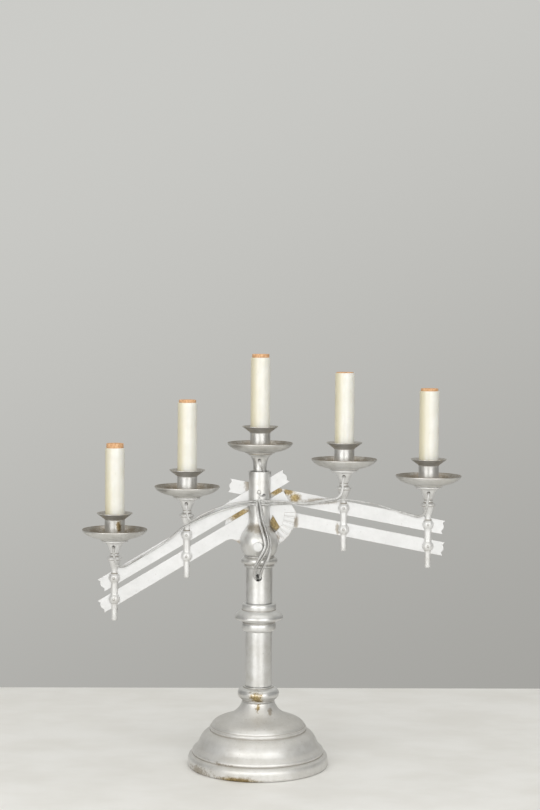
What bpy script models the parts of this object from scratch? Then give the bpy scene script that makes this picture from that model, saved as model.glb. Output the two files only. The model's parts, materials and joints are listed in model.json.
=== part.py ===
"""Five-light altar candelabra with two adjustable parallelogram arms.

Sizes are in millimetres and MM turns them into metres. The column stands on z = 0 with its axis on
the Z axis, the front faces -Y, and the arms reach along -X (left) and +X (right).
"""

import math

import bmesh
import bpy
from mathutils import Vector

MM = 0.001
GAP = 0.3             # between pieces that touch
PIN_PLAY = 0.35       # between a pin and its hole
SLIDE_PLAY = 0.4      # between a plunger and its guide
REAR, FRONT = 1, -1
LEFT, RIGHT = -1, 1

# foot
BASE_RADIUS = 88.0
BASE_HEIGHT = 81.0
BASE_NECK_RADIUS = 20.5
BASE_WALL = 1.8
FELT_THICKNESS = 2.0
BUSHING_HEIGHT = 8.5
BUSHING_RADIUS = 4.0
BUSHING_LIP = 5.6
BUSHING_BORE = 2.6
BUSHING_PROUD = 3.0

# column
STEM_RADIUS = 16.7
STEM_WALL = 1.8
COLLAR_HEIGHT = 22.4
LOWER_STEM_LENGTH = 66.0
KNOP_HEIGHT = 34.8
UPPER_STEM_LENGTH = 45.0
RING_HEIGHT = 14.4
TIE_ROD_RADIUS = 4.75
NUT_RADIUS = 9.0
NUT_HEIGHT = 7.0
LEAD_HOLE_RADIUS = 4.2
LEAD_HOLE_BELOW_TOP = 11.5

# hub
HUB_RADIUS = 14.1
BULB_RADIUS = 24.4
BULB_FOOT_RADIUS = 18.7
BULB_HEIGHT = 39.0
TENON_RADIUS = 10.0
TENON_LENGTH = 14.0
TOP_BORE_RADIUS = 12.3
TOP_BORE_DEPTH = 7.0
LEAD_CHANNEL = (6.2, -8.5)   # x, y of the channel down through the hub's front wall
LOWER_PIVOT_UP = 53.2  # above the bulb's foot
PIVOT_SPACING = 27.0
UPPER_PIVOT_DOWN = 25.4  # below the hub's top
HUB_PIN_RADIUS = 2.5

# arms
BAR_WIDTH = 17.0
BAR_THICKNESS = 3.0
BAR_PLANE = 1.9       # from the column's mid plane to the middle of a bar
SLOT_PLAY = 0.3       # on each side of a bar
INNER_REACH = 107.0
OUTER_REACH = 214.0
BAR_END = 20.0        # past the outer pivot
UPPER_STUB = 39.0     # past the hub, on the other side
LOWER_STUB = 40.0
NOTCH_DEPTH = 2.2
TILT = {LEFT: 31.4, RIGHT: 10.4}   # degrees below level as set
MOST_TILT = 36.0
SECTOR_RADIUS = 46.0
BAND_INNER = 31.5
WINDOW_INNER = 16.5
WINDOW_EDGE = 13.0    # straight end of the window, past the pivot
WINDOW_END = 322.0    # degrees round from the arm's direction, anticlockwise on the right arm
TOOTH_PITCH = 10.0    # degrees
TOOTH_WIDTH = 6.6     # degrees
TOOTH_HEIGHT = 1.0
BAND_START, BAND_END = 213.0, 334.0
FILLET = 11.0

# plungers
PLUNGER_DEPTH = 39.6  # below the lower pivot
KNOB_RADIUS = 6.0
KNOB_THICKNESS = 3.2
PLUNGER_RADIUS = 1.9
FLANGE_RADIUS = 3.2
FLANGE_THICKNESS = 1.6
SPRING_RADIUS = 3.2
SPRING_LENGTH = 6.4
NOSE_CLEAR = 0.4      # from the crests of the teeth
PLUNGER_TRAVEL = 3.0

# hanging fittings, measured from the upper pivot
BALL_RADIUS = 7.4
SHAFT_RADIUS = 4.9
TAIL_RADIUS = 3.8
TAIL_DROP = 25.0      # below the lower pivot
NECK_RADIUS = 4.8
VASE_TOP = 47.9
VASE_RADIUS = 15.3
PENDANT_PIN_RADIUS = 1.5
LEAD_HOLE_DROP = 8.2  # below the vase's top
LEAD_HOLE_SIZE = 2.1

# light
TENON_FIT_RADIUS = 4.5
PAN_RADIUS = 41.0
PAN_HEIGHT = 10.8
PAN_FOOT_RADIUS = 19.4
PAN_FOOT_HEIGHT = 1.8
PAN_WALL = 1.3
CUP_RADIUS = 12.7
CUP_HEIGHT = 21.6
CUP_FLARE = 7.4
CUP_LIP_RADIUS = 22.4
CUP_WALL = 1.8
SLEEVE_RADIUS = 12.0
SLEEVE_WALL = 0.8
SLEEVE_LENGTH = 92.0
SOCKET_LENGTH = 42.0
SOCKET_BORE = 6.4
SOCKET_DEPTH = 30.0
SOCKET_PROUD = 0.8
SOCKET_POST_RADIUS = 3.5
CENTRE_VASE_FOOT = 8.8

# leads
LEAD_RADIUS = 1.3
BUNDLE_RADIUS = 2.8
LEAD_SPACING = 7.4    # between the points of a lead's tube

FINE, MEDIUM, COARSE = 24, 16, 12   # sides of round pieces


# places that follow from the sizes, heights in world millimetres
HUB_HEIGHT = LOWER_PIVOT_UP + PIVOT_SPACING + UPPER_PIVOT_DOWN  # bulb and tube together
COLLAR_Z = BASE_HEIGHT + GAP
LOWER_STEM_Z = COLLAR_Z + COLLAR_HEIGHT + GAP
KNOP_Z = LOWER_STEM_Z + LOWER_STEM_LENGTH + GAP
UPPER_STEM_Z = KNOP_Z + KNOP_HEIGHT + GAP
RING_Z = UPPER_STEM_Z + UPPER_STEM_LENGTH + GAP
HUB_Z = RING_Z + RING_HEIGHT + GAP
LOWER_PIVOT_Z = HUB_Z + LOWER_PIVOT_UP
UPPER_PIVOT_Z = LOWER_PIVOT_Z + PIVOT_SPACING
HUB_TOP_Z = HUB_Z + HUB_HEIGHT
TIE_BORE = TIE_ROD_RADIUS + GAP
PLUNGER_Z = LOWER_PIVOT_Z - PLUNGER_DEPTH
CREST = BAR_PLANE + BAR_THICKNESS / 2 + TOOTH_HEIGHT
BAND_SLOT = CREST + 0.6
BAR_SLOT = BAR_PLANE + BAR_THICKNESS / 2 + 0.8
PAN_FLOOR = PAN_FOOT_HEIGHT + PAN_WALL
CUP_SEAT = PAN_FLOOR + GAP


def clear_scene():
    for obj in list(bpy.data.objects):
        bpy.data.objects.remove(obj, do_unlink=True)


def make_material(name, colour, roughness, metallic):
    material = bpy.data.materials.new(name)
    material.use_nodes = True
    shader = material.node_tree.nodes["Principled BSDF"]
    shader.inputs["Base Color"].default_value = (*colour, 1.0)
    shader.inputs["Roughness"].default_value = roughness
    shader.inputs["Metallic"].default_value = metallic
    return material


def make_empty(name, location):
    empty = bpy.data.objects.new(name, None)
    empty.location = Vector(location) * MM
    bpy.context.collection.objects.link(empty)
    return empty


def add_object(name, bm, material=None, parent=None, place=(0, 0, 0)):
    """Makes an object of the mesh in bm, whose points are in millimetres."""
    bmesh.ops.recalc_face_normals(bm, faces=bm.faces)
    bmesh.ops.scale(bm, vec=(MM, MM, MM), verts=bm.verts)
    mesh = bpy.data.meshes.new(name)
    bm.to_mesh(mesh)
    bm.free()
    mesh.shade_smooth()
    mesh.set_sharp_from_angle(angle=math.radians(35))
    if material:
        mesh.materials.append(material)
    return add_mesh(name, mesh, parent, place)


def add_mesh(name, mesh, parent=None, place=(0, 0, 0)):
    obj = bpy.data.objects.new(name, mesh)
    obj.location = Vector(place) * MM
    obj.parent = parent
    bpy.context.collection.objects.link(obj)
    return obj


def turned_mesh(outline, segments):
    """Spins a closed outline of (radius, height) points round Z."""
    bm = bmesh.new()
    rings = []
    for radius, height in outline:
        if radius == 0:
            rings.append([bm.verts.new((0, 0, height))])
            continue
        angles = [2 * math.pi * (k + 0.5) / segments for k in range(segments)]
        rings.append([bm.verts.new((radius * math.cos(a), radius * math.sin(a), height))
                      for a in angles])
    for upper, lower in zip(rings, rings[1:] + rings[:1]):
        if len(upper) == len(lower) == 1:
            continue
        for k in range(segments):
            n = k + 1
            corners = [upper[k % len(upper)], upper[n % len(upper)],
                       lower[n % len(lower)], lower[k % len(lower)]]
            bm.faces.new(dict.fromkeys(corners))
    return bm


def add_turned(name, outline, material, segments=MEDIUM, parent=None, place=(0, 0, 0)):
    return add_object(name, turned_mesh(outline, segments), material, parent, place)


def plate_mesh(outline, front, back):
    """A flat plate: an outline of (x, z) points between two y values."""
    bm = bmesh.new()
    faces = [[bm.verts.new((x, y, z)) for x, z in outline] for y in (front, back)]
    for side in faces:
        bm.faces.new(side)
    for k in range(len(outline)):
        n = (k + 1) % len(outline)
        bm.faces.new((faces[0][k], faces[0][n], faces[1][n], faces[1][k]))
    return bm


def rod_mesh(radius, start, end, segments=10):
    """A plain cylinder between two points."""
    bm = bmesh.new()
    start, end = Vector(start), Vector(end)
    turn = (end - start).to_track_quat("Z", "Y")
    ends = []
    for centre in (start, end):
        ring = []
        for k in range(segments):
            a = 2 * math.pi * (k + 0.5) / segments
            offset = turn @ Vector((radius * math.cos(a), radius * math.sin(a), 0))
            ring.append(bm.verts.new(centre + offset))
        bm.faces.new(ring)
        ends.append(ring)
    for k in range(segments):
        n = (k + 1) % segments
        bm.faces.new((ends[0][k], ends[0][n], ends[1][n], ends[1][k]))
    return bm


def box_mesh(low, high):
    outline = [(low[0], low[2]), (high[0], low[2]), (high[0], high[2]), (low[0], high[2])]
    return plate_mesh(outline, low[1], high[1])


def change(target, bm, operation):
    """Cuts the mesh in bm from the target, or joins it on, with a hidden helper object."""
    place = target.location / MM
    helper = add_object(f"{target.name}_{operation.lower()}_{len(target.modifiers)}", bm,
                        parent=target.parent, place=place)
    helper.rotation_euler = target.rotation_euler
    helper.hide_render = True
    helper.display_type = "WIRE"
    modifier = target.modifiers.new(helper.name, "BOOLEAN")
    modifier.operation = operation
    modifier.solver = "EXACT"
    modifier.object = helper


def cut(target, bm):
    change(target, bm, "DIFFERENCE")


def arc(radius, start, end, steps):
    """Points on a circle round the origin, with angles in degrees."""
    angles = [math.radians(start + (end - start) * k / steps) for k in range(steps + 1)]
    return [(radius * math.cos(a), radius * math.sin(a)) for a in angles]


def shell_inside(outline, wall):
    """The outline moved inwards by the wall, for a shell whose outline runs from its top down."""
    inside = []
    for k in range(1, len(outline) - 1):
        along = Vector(outline[k + 1]) - Vector(outline[k - 1])
        inward = Vector((along.y, -along.x)).normalized() * wall
        inside.append(tuple(Vector(outline[k]) + inward))
    return inside


# ---------------------------------------------------------------- foot and column

def make_base(silver, felt, rubber):
    """The spun foot, its pad and the bushing at the back."""
    spread = BASE_RADIUS - BASE_NECK_RADIUS
    flare = [(0.0, 1.0), (0.03, 0.95), (0.1, 0.86), (0.23, 0.77), (0.38, 0.725), (0.53, 0.68),
             (0.63, 0.585), (0.74, 0.495), (0.8, 0.405), (0.89, 0.305), (0.92, 0.2), (0.97, 0.165)]
    outline = [(BASE_NECK_RADIUS + spread * out, BASE_HEIGHT * up) for out, up in flare]
    inside = shell_inside(outline, BASE_WALL)
    rim = BASE_RADIUS - BASE_WALL
    outline += [(BASE_RADIUS, 10.0), (BASE_RADIUS, GAP), (rim, GAP), (rim, 10.0)]
    outline += reversed(inside[2:])
    ceiling = BASE_HEIGHT - 3 * BASE_WALL
    outline += [(BASE_NECK_RADIUS - BASE_WALL, ceiling), (TIE_BORE, ceiling), (TIE_BORE, BASE_HEIGHT)]
    shell = add_turned("base_shell", outline, silver, FINE)
    cut(shell, rod_mesh(BUSHING_RADIUS + GAP, (0, rim - 8, BUSHING_HEIGHT),
                        (0, BASE_RADIUS + 8, BUSHING_HEIGHT)))
    add_turned("base_felt", [(0, FELT_THICKNESS), (rim - GAP, FELT_THICKNESS), (rim - GAP, 0), (0, 0)],
               felt, FINE)

    inner = rim * math.cos(math.pi / FINE) - BUSHING_PROUD
    outer = BASE_RADIUS
    bushing = [(BUSHING_BORE, 0), (BUSHING_RADIUS, 0), (BUSHING_RADIUS, outer - inner + GAP),
               (BUSHING_LIP, outer - inner + GAP), (BUSHING_LIP - 1.2, outer - inner + BUSHING_PROUD),
               (BUSHING_BORE, outer - inner + BUSHING_PROUD)]
    piece = add_turned("cord_bushing", bushing, rubber, COARSE, place=(0, inner, BUSHING_HEIGHT))
    piece.rotation_euler = (-math.pi / 2, 0, 0)


def make_column(silver, steel):
    """The stacked turnings and tubes, and the rod that clamps them."""
    tube = STEM_RADIUS - STEM_WALL
    add_turned("base_collar", [
        (TIE_BORE, COLLAR_HEIGHT), (STEM_RADIUS + 0.8, COLLAR_HEIGHT), (STEM_RADIUS + 2.4, 20.4),
        (24.3, 17.4), (26.0, 11.2), (24.3, 5.0), (BASE_NECK_RADIUS, 1.6), (BASE_NECK_RADIUS - 1.5, 0),
        (TIE_BORE, 0)],
        silver, place=(0, 0, COLLAR_Z))
    add_turned("lower_stem", [(tube, LOWER_STEM_LENGTH), (STEM_RADIUS, LOWER_STEM_LENGTH),
                              (STEM_RADIUS, 0), (tube, 0)], silver, place=(0, 0, LOWER_STEM_Z))
    band = STEM_RADIUS + 4.8
    add_turned("mid_knop", [
        (TIE_BORE, KNOP_HEIGHT), (band - 0.6, KNOP_HEIGHT), (band, 33.8), (band, 26.0),
        (band + 3.2, 24.2), (30.2, 19.6), (30.5, 16.6), (26.4, 13.0), (STEM_RADIUS + 2.8, 11.0),
        (STEM_RADIUS + 2.8, 9.4), (band, 8.8), (band, 0.8), (band - 0.6, 0), (TIE_BORE, 0)],
        silver, place=(0, 0, KNOP_Z))
    upper = add_turned("upper_stem", [(tube, UPPER_STEM_LENGTH), (STEM_RADIUS, UPPER_STEM_LENGTH),
                                      (STEM_RADIUS, 0), (tube, 0)], silver, place=(0, 0, UPPER_STEM_Z))
    hole = UPPER_STEM_LENGTH - LEAD_HOLE_BELOW_TOP
    cut(upper, rod_mesh(LEAD_HOLE_RADIUS, (0, -STEM_RADIUS - 3, hole), (0, -TIE_ROD_RADIUS, hole)))
    bore = TENON_RADIUS + GAP
    add_turned("ring_collar", [
        (bore, RING_HEIGHT), (BULB_FOOT_RADIUS - 0.6, RING_HEIGHT), (BULB_FOOT_RADIUS + 0.2, 12.6),
        (22.0, 11.4), (23.0, 8.0), (21.8, 4.6), (STEM_RADIUS + 1.6, 3.0), (STEM_RADIUS + 0.8, 0),
        (bore, 0)],
        silver, place=(0, 0, RING_Z))

    nut_top = BASE_HEIGHT - 3 * BASE_WALL - GAP
    rod_top = HUB_Z - 1.5
    rod_bottom = nut_top - NUT_HEIGHT - 3.0
    add_turned("tie_rod", [(0, rod_top), (TIE_ROD_RADIUS, rod_top), (TIE_ROD_RADIUS, rod_bottom),
                           (0, rod_bottom)], steel)
    nut = add_turned("tie_rod_nut", [(0, NUT_HEIGHT), (NUT_RADIUS, NUT_HEIGHT), (NUT_RADIUS, 0), (0, 0)],
                     steel, 6, place=(0, 0, nut_top - NUT_HEIGHT))
    cut(nut, rod_mesh(TIE_BORE + GAP, (0, 0, -1), (0, 0, NUT_HEIGHT + 1)))


def hub_slot_top():
    tilt = math.radians(MOST_TILT)
    return UPPER_PIVOT_Z + BAR_WIDTH / 2 / math.cos(tilt) + HUB_RADIUS * math.tan(tilt) + 1.0


def make_hub(silver, steel):
    """Bulb and tube in one casting, slotted for the bars, with its pins."""
    bulb_top = BULB_HEIGHT
    tenon_hole = TIE_BORE + PIN_PLAY
    outline = [
        (0, HUB_HEIGHT - TOP_BORE_DEPTH), (TOP_BORE_RADIUS, HUB_HEIGHT - TOP_BORE_DEPTH),
        (TOP_BORE_RADIUS, HUB_HEIGHT), (HUB_RADIUS, HUB_HEIGHT), (HUB_RADIUS, bulb_top), (16.0, 33.5),
        (19.4, 29.5), (22.6, 25.0), (BULB_RADIUS, 18.5), (BULB_RADIUS - 0.4, 12.5), (22.4, 6.6),
        (BULB_FOOT_RADIUS, 0), (TENON_RADIUS, 0), (TENON_RADIUS, -TENON_LENGTH),
        (tenon_hole, -TENON_LENGTH), (tenon_hole, -0.6), (0, -0.6)]
    hub = add_turned("hub_housing", outline, silver, MEDIUM, place=(0, 0, HUB_Z))
    reach = BULB_RADIUS + 5
    slot_bottom = LOWER_PIVOT_UP - SECTOR_RADIUS - 1.0
    pivot = LOWER_PIVOT_UP
    cut(hub, box_mesh((-reach, -BAR_SLOT, slot_bottom), (reach, BAR_SLOT, hub_slot_top() - HUB_Z)))
    cut(hub, box_mesh((-reach, -BAND_SLOT, slot_bottom), (reach, BAND_SLOT, bulb_top - 2)))
    for up in (pivot, pivot + PIVOT_SPACING):
        cut(hub, rod_mesh(HUB_PIN_RADIUS + PIN_PLAY, (0, -reach, up), (0, reach, up), COARSE))
    up = pivot - PLUNGER_DEPTH
    wall = spring_end() + GAP
    cut(hub, rod_mesh(SPRING_RADIUS + SLIDE_PLAY, (0, -wall, up), (0, wall, up)))
    cut(hub, rod_mesh(PLUNGER_RADIUS + SLIDE_PLAY, (0, -reach, up), (0, reach, up)))
    lead_x, lead_y = LEAD_CHANNEL
    floor = HUB_HEIGHT - TOP_BORE_DEPTH
    cut(hub, rod_mesh(LEAD_RADIUS + 0.7, (lead_x, lead_y, pivot + 20), (lead_x, lead_y, floor + 1)))
    cut(hub, box_mesh((lead_x - 2, -HUB_RADIUS - 2, pivot + 13), (lead_x + 2, lead_y + 2, pivot + 29)))

    for name, height in (("hub_upper_pin", UPPER_PIVOT_Z), ("hub_lower_pin", LOWER_PIVOT_Z)):
        half = HUB_RADIUS - 0.2
        add_object(name, rod_mesh(HUB_PIN_RADIUS, (0, -half, 0), (0, half, 0), COARSE), steel,
                   place=(0, 0, height))


def spring_end():
    """How far from the mid plane the outer end of a plunger's spring lies."""
    return CREST + NOSE_CLEAR + 1.2 + FLANGE_THICKNESS + GAP + SPRING_LENGTH


def make_plunger(side_name, facing, silver, steel):
    """A knob on a sprung plunger: facing is -1 at the front and +1 at the rear."""
    nose = CREST + NOSE_CLEAR
    head = BULB_RADIUS + 1.2
    neck = nose + 1.2
    flange = neck - nose
    under = head - nose
    top = under + KNOB_THICKNESS
    outline = [(0, 0), (PLUNGER_RADIUS - 0.6, 0), (PLUNGER_RADIUS, flange), (FLANGE_RADIUS, flange),
               (FLANGE_RADIUS, flange + FLANGE_THICKNESS), (PLUNGER_RADIUS, flange + FLANGE_THICKNESS),
               (PLUNGER_RADIUS, under), (KNOB_RADIUS - 0.5, under), (KNOB_RADIUS, under + 0.5),
               (KNOB_RADIUS, top - 0.8), (KNOB_RADIUS - 0.8, top), (0, top)]
    knob = add_turned(f"{side_name}_knob", outline, silver, COARSE, place=(0, facing * nose, PLUNGER_Z))
    knob.rotation_euler = (-facing * math.pi / 2, 0, 0)
    inner = PLUNGER_RADIUS + SLIDE_PLAY / 2
    start = neck + FLANGE_THICKNESS + GAP
    spring = add_turned(f"{side_name}_spring", [
        (inner, 0), (SPRING_RADIUS, 0), (SPRING_RADIUS, SPRING_LENGTH), (inner, SPRING_LENGTH)],
        steel, 12, place=(0, facing * start, PLUNGER_Z))
    spring.rotation_euler = (-facing * math.pi / 2, 0, 0)


# ---------------------------------------------------------------- lights

def make_light(name, parent, seat, silver, ivory, fibre):
    """Pan, cup, candle sleeve and lamp socket over a fitting; seat is the height of its top."""
    x, y, z = seat
    hole = TENON_FIT_RADIUS + GAP
    rise = PAN_HEIGHT - PAN_FOOT_HEIGHT
    add_turned(f"{name}_pan", [
        (hole, PAN_FLOOR), (PAN_FOOT_RADIUS - 1.4, PAN_FLOOR),
        (PAN_RADIUS - 9.2, PAN_FOOT_HEIGHT + 0.5 * rise + PAN_WALL), (PAN_RADIUS - 2.0, PAN_HEIGHT),
        (PAN_RADIUS - 0.9, PAN_HEIGHT + 0.6), (PAN_RADIUS, PAN_HEIGHT - 0.4),
        (PAN_RADIUS - 2.4, PAN_HEIGHT - 2.2), (PAN_RADIUS - 8.2, PAN_FOOT_HEIGHT + 0.45 * rise),
        (PAN_FOOT_RADIUS, PAN_FOOT_HEIGHT), (PAN_FOOT_RADIUS, 0), (hole, 0)],
        silver, MEDIUM, parent, (x, y, z))

    lip = CUP_HEIGHT + CUP_FLARE
    ledge = CUP_HEIGHT + 3.4
    add_turned(f"{name}_cup", [
        (hole, 3.0), (CUP_RADIUS - CUP_WALL, 3.0), (CUP_RADIUS - CUP_WALL, ledge),
        (SLEEVE_RADIUS + GAP, ledge), (SLEEVE_RADIUS + 1.6, ledge + 2.2), (CUP_LIP_RADIUS - 0.8, lip),
        (CUP_LIP_RADIUS, lip - 0.8), (CUP_LIP_RADIUS - 3.4, lip - 2.8),
        (CUP_RADIUS + 1.6, CUP_HEIGHT + 1.4), (CUP_RADIUS, CUP_HEIGHT - 1.0), (CUP_RADIUS, 0), (hole, 0)],
        silver, COARSE, parent, (x, y, z + CUP_SEAT))

    sleeve_z = CUP_SEAT + ledge + GAP
    sleeve_bore = SLEEVE_RADIUS - SLEEVE_WALL
    add_turned(f"{name}_sleeve", [
        (sleeve_bore, SLEEVE_LENGTH), (SLEEVE_RADIUS, SLEEVE_LENGTH), (SLEEVE_RADIUS, 0),
        (sleeve_bore, 0)], ivory, COARSE, parent, (x, y, z + sleeve_z))

    top = sleeve_z + SLEEVE_LENGTH + SOCKET_PROUD
    barrel = sleeve_bore - GAP - 0.1
    post_bottom = CUP_SEAT + 3.0 + 1.2
    add_turned(f"{name}_socket", [
        (0, top - SOCKET_DEPTH), (SOCKET_BORE, top - SOCKET_DEPTH), (SOCKET_BORE, top), (barrel, top),
        (barrel, top - SOCKET_LENGTH), (SOCKET_POST_RADIUS, top - SOCKET_LENGTH),
        (SOCKET_POST_RADIUS, post_bottom), (0, post_bottom)], fibre, COARSE, parent, (x, y, z))


def tenon_outline():
    """The tenon on a fitting's top, through the pan and the cup's floor."""
    height = GAP + CUP_SEAT + 3.0 + 0.7
    return [(0, height), (TENON_FIT_RADIUS, height), (TENON_FIT_RADIUS, 0)]


def make_centre_light(silver, ivory, fibre):
    """The fixed light on the hub."""
    foot = HUB_TOP_Z - TOP_BORE_DEPTH + GAP
    top = HUB_TOP_Z + 22.4
    height = top - foot
    outline = [(radius, height + up) for radius, up in tenon_outline()]
    outline += [(VASE_RADIUS - 1.0, height), (VASE_RADIUS, height - 0.8), (12.0, height - 4.0),
                (10.2, height - 7.4), (CENTRE_VASE_FOOT, height - 13.0), (CENTRE_VASE_FOOT, 8.0),
                (CENTRE_VASE_FOOT - 0.8, 5.0), (CENTRE_VASE_FOOT - 0.8, 0), (0, 0)]
    vase = add_turned("centre_vase", outline, silver, COARSE, place=(0, 0, foot))
    hole = height - LEAD_HOLE_DROP
    cut(vase, rod_mesh(LEAD_HOLE_SIZE, (0, -VASE_RADIUS, hole), (0, -6.0, hole)))
    make_light("centre", None, (0, 0, top + GAP), silver, ivory, fibre)


# ---------------------------------------------------------------- arms

def fishtail(end, outward):
    """The end of a bar: two corner tips and a middle lobe with notches between them."""
    half = BAR_WIDTH / 2
    notch = end - outward * NOTCH_DEPTH
    return [(end, half), (notch, 0.56 * half), (end - outward * 0.4, 0.24 * half), (end, 0),
            (end - outward * 0.4, -0.24 * half), (notch, -0.56 * half), (end, -half)]


def upper_outline():
    return fishtail(OUTER_REACH + BAR_END, 1) + fishtail(-UPPER_STUB, -1)[::-1]


def lower_outline():
    """The lower bar with the toothed sector hanging below its hub end."""
    half = BAR_WIDTH / 2
    edge_angle = 180 + math.degrees(math.acos(LOWER_STUB / SECTOR_RADIUS))
    last = 360 - math.degrees(math.asin((half + FILLET * 0.75) / SECTOR_RADIUS))
    rim = arc(SECTOR_RADIUS, edge_angle, last, 14)
    end_x, end_z = rim[-1]
    fillet = [(end_x + 2.2, end_z + 4.4), (end_x + 5.4, -half - 1.2), (end_x + FILLET, -half)]
    return fishtail(OUTER_REACH + BAR_END, 1)[::-1] + [(-LOWER_STUB, half)] + rim + fillet


def sector_window():
    """The opening between the hub end and the toothed band."""
    outer = BAND_INNER - 0.5
    outer_start = 180 + math.degrees(math.acos(WINDOW_EDGE / outer))
    inner_start = 180 + math.degrees(math.acos(WINDOW_EDGE / WINDOW_INNER))
    return arc(outer, outer_start, WINDOW_END, 8) + arc(WINDOW_INNER, WINDOW_END - 4, inner_start, 6)


def tooth_mesh(side):
    """Radial teeth on the outer face of a lower bar's band."""
    bm = bmesh.new()
    count = int((BAND_END - BAND_START) // TOOTH_PITCH) + 1
    outer_face = side * BAR_THICKNESS / 2
    for k in range(count):
        middle = BAND_START + TOOTH_PITCH * k
        outline = []
        for radius, half in ((BAND_INNER, TOOTH_WIDTH / 2), (SECTOR_RADIUS - 0.8, -TOOTH_WIDTH / 2)):
            for turn in (middle - half, middle + half):
                a = math.radians(turn)
                outline.append((side * radius * math.cos(a), radius * math.sin(a)))
        root, crest = outer_face - side * 0.4, outer_face + side * TOOTH_HEIGHT
        corners = [[bm.verts.new((x, y, z)) for x, z in outline] for y in (root, crest)]
        for face in corners:
            bm.faces.new(face)
        for n in range(4):
            m = (n + 1) % 4
            bm.faces.new((corners[0][n], corners[0][m], corners[1][m], corners[1][n]))
    return bm


def make_bar(name, side, outline, height, material):
    """A bar at its rest tilt, with a hole at each pivot."""
    place = [(side * x, z) for x, z in outline]
    half = BAR_THICKNESS / 2
    bar = add_object(name, plate_mesh(place, -half, half), material, place=(0, side * BAR_PLANE, height))
    bar.rotation_euler = (0, side * math.radians(TILT[side]), 0)
    pin_sizes = {0: HUB_PIN_RADIUS, INNER_REACH: PENDANT_PIN_RADIUS, OUTER_REACH: PENDANT_PIN_RADIUS}
    for reach, radius in pin_sizes.items():
        x = side * reach
        cut(bar, rod_mesh(radius + PIN_PLAY, (x, -half - 2, 0), (x, half + 2, 0), COARSE))
    return bar


def make_arm_bars(word, side, silver):
    make_bar(f"{word}_upper_bar", side, upper_outline(), UPPER_PIVOT_Z, silver)
    lower = make_bar(f"{word}_lower_bar", side, lower_outline(), LOWER_PIVOT_Z, silver)
    window = [(side * x, z) for x, z in sector_window()]
    cut(lower, plate_mesh(window, -BAR_THICKNESS, BAR_THICKNESS))
    change(lower, tooth_mesh(side), "UNION")


def slot_reach(radius):
    """Half the height a tilted bar needs where it passes through a stem of this radius."""
    tilt = math.radians(MOST_TILT)
    return BAR_WIDTH / 2 / math.cos(tilt) + radius * math.tan(tilt) + 0.6


def pendant_stem_mesh(silver):
    """The turned stem of a hanging fitting with its slot, its pin holes and its lead hole."""
    drop = -PIVOT_SPACING
    outline = [(radius, VASE_TOP + up) for radius, up in tenon_outline()]
    outline += [
        (VASE_RADIUS - 0.8, VASE_TOP), (VASE_RADIUS, VASE_TOP - 0.9), (10.2, 42.5), (7.0, 34.8),
        (5.1, 29.0), (9.0, 26.0), (9.7, 23.8), (7.3, 18.9), (NECK_RADIUS + 0.8, 14.0),
        (NECK_RADIUS, 10.0), (6.2, 5.0), (BALL_RADIUS, 0), (6.2, -5.0), (SHAFT_RADIUS, -8.0),
        (SHAFT_RADIUS, drop + 8.0), (6.2, drop + 5.0), (BALL_RADIUS, drop), (6.2, drop - 5.0),
        (TAIL_RADIUS, drop - 7.5), (TAIL_RADIUS, drop - TAIL_DROP + 1.2),
        (TAIL_RADIUS - 1.2, drop - TAIL_DROP), (0, drop - TAIL_DROP)]
    stem = add_turned("pendant_stem_pattern", outline, silver, COARSE)
    slot = BAR_THICKNESS / 2 + SLOT_PLAY
    reach = BALL_RADIUS + 10
    cut(stem, box_mesh((-reach, -slot, drop - slot_reach(TAIL_RADIUS)),
                       (reach, slot, slot_reach(BALL_RADIUS - 1.0))))
    for up in (0, drop):
        cut(stem, rod_mesh(PENDANT_PIN_RADIUS + PIN_PLAY, (0, -reach, up), (0, reach, up)))
    hole = VASE_TOP - LEAD_HOLE_DROP
    cut(stem, rod_mesh(LEAD_HOLE_SIZE, (0, -VASE_RADIUS, hole), (0, -5.5, hole)))
    bpy.context.view_layer.update()
    graph = bpy.context.evaluated_depsgraph_get()
    mesh = bpy.data.meshes.new_from_object(stem.evaluated_get(graph))
    mesh.name = "pendant_stem"
    for modifier in list(stem.modifiers):
        bpy.data.objects.remove(modifier.object, do_unlink=True)
    bpy.data.objects.remove(stem, do_unlink=True)
    return mesh


def pivot_place(side, reach):
    """Where a fitting's upper pivot is at rest."""
    tilt = math.radians(TILT[side])
    return (side * reach * math.cos(tilt), side * BAR_PLANE, UPPER_PIVOT_Z - reach * math.sin(tilt))


def make_pendant(name, side, reach, stem_mesh, finishes):
    """A hanging fitting: its stem, two pins and its light, under an empty on its upper pivot."""
    silver, steel, ivory, fibre = finishes
    pivot = make_empty(f"{name}_pivot", pivot_place(side, reach))
    add_mesh(f"{name}_stem", stem_mesh, pivot)
    half = BALL_RADIUS - 0.4
    for word, up in (("upper", 0), ("lower", -PIVOT_SPACING)):
        pin = rod_mesh(PENDANT_PIN_RADIUS, (0, -half, 0), (0, half, 0))
        add_object(f"{name}_{word}_pin", pin, steel, pivot, (0, 0, up))
    make_light(name, pivot, (0, 0, VASE_TOP + GAP), silver, ivory, fibre)


# ---------------------------------------------------------------- leads

def smooth_route(points, spacing):
    """Evenly spaced points on a smooth curve through the route's own points."""
    ends = [2 * points[0] - points[1]] + points + [2 * points[-1] - points[-2]]
    fine = []
    for a, b, c, d in zip(ends, ends[1:], ends[2:], ends[3:]):
        for k in range(24):
            t = k / 24
            fine.append(0.5 * (2 * b + (c - a) * t + (2 * a - 5 * b + 4 * c - d) * t * t
                               + (3 * b - a - 3 * c + d) * t ** 3))
    fine.append(points[-1])
    length = sum((q - p).length for p, q in zip(fine, fine[1:]))
    count = max(3, round(length / spacing))
    route, walked, step = [fine[0]], 0.0, length / count
    for p, q in zip(fine, fine[1:]):
        part = (q - p).length
        while part > 0 and walked + part >= step * len(route) and len(route) < count:
            route.append(p.lerp(q, (step * len(route) - walked) / part))
        walked += part
    return route + [fine[-1]]


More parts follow.
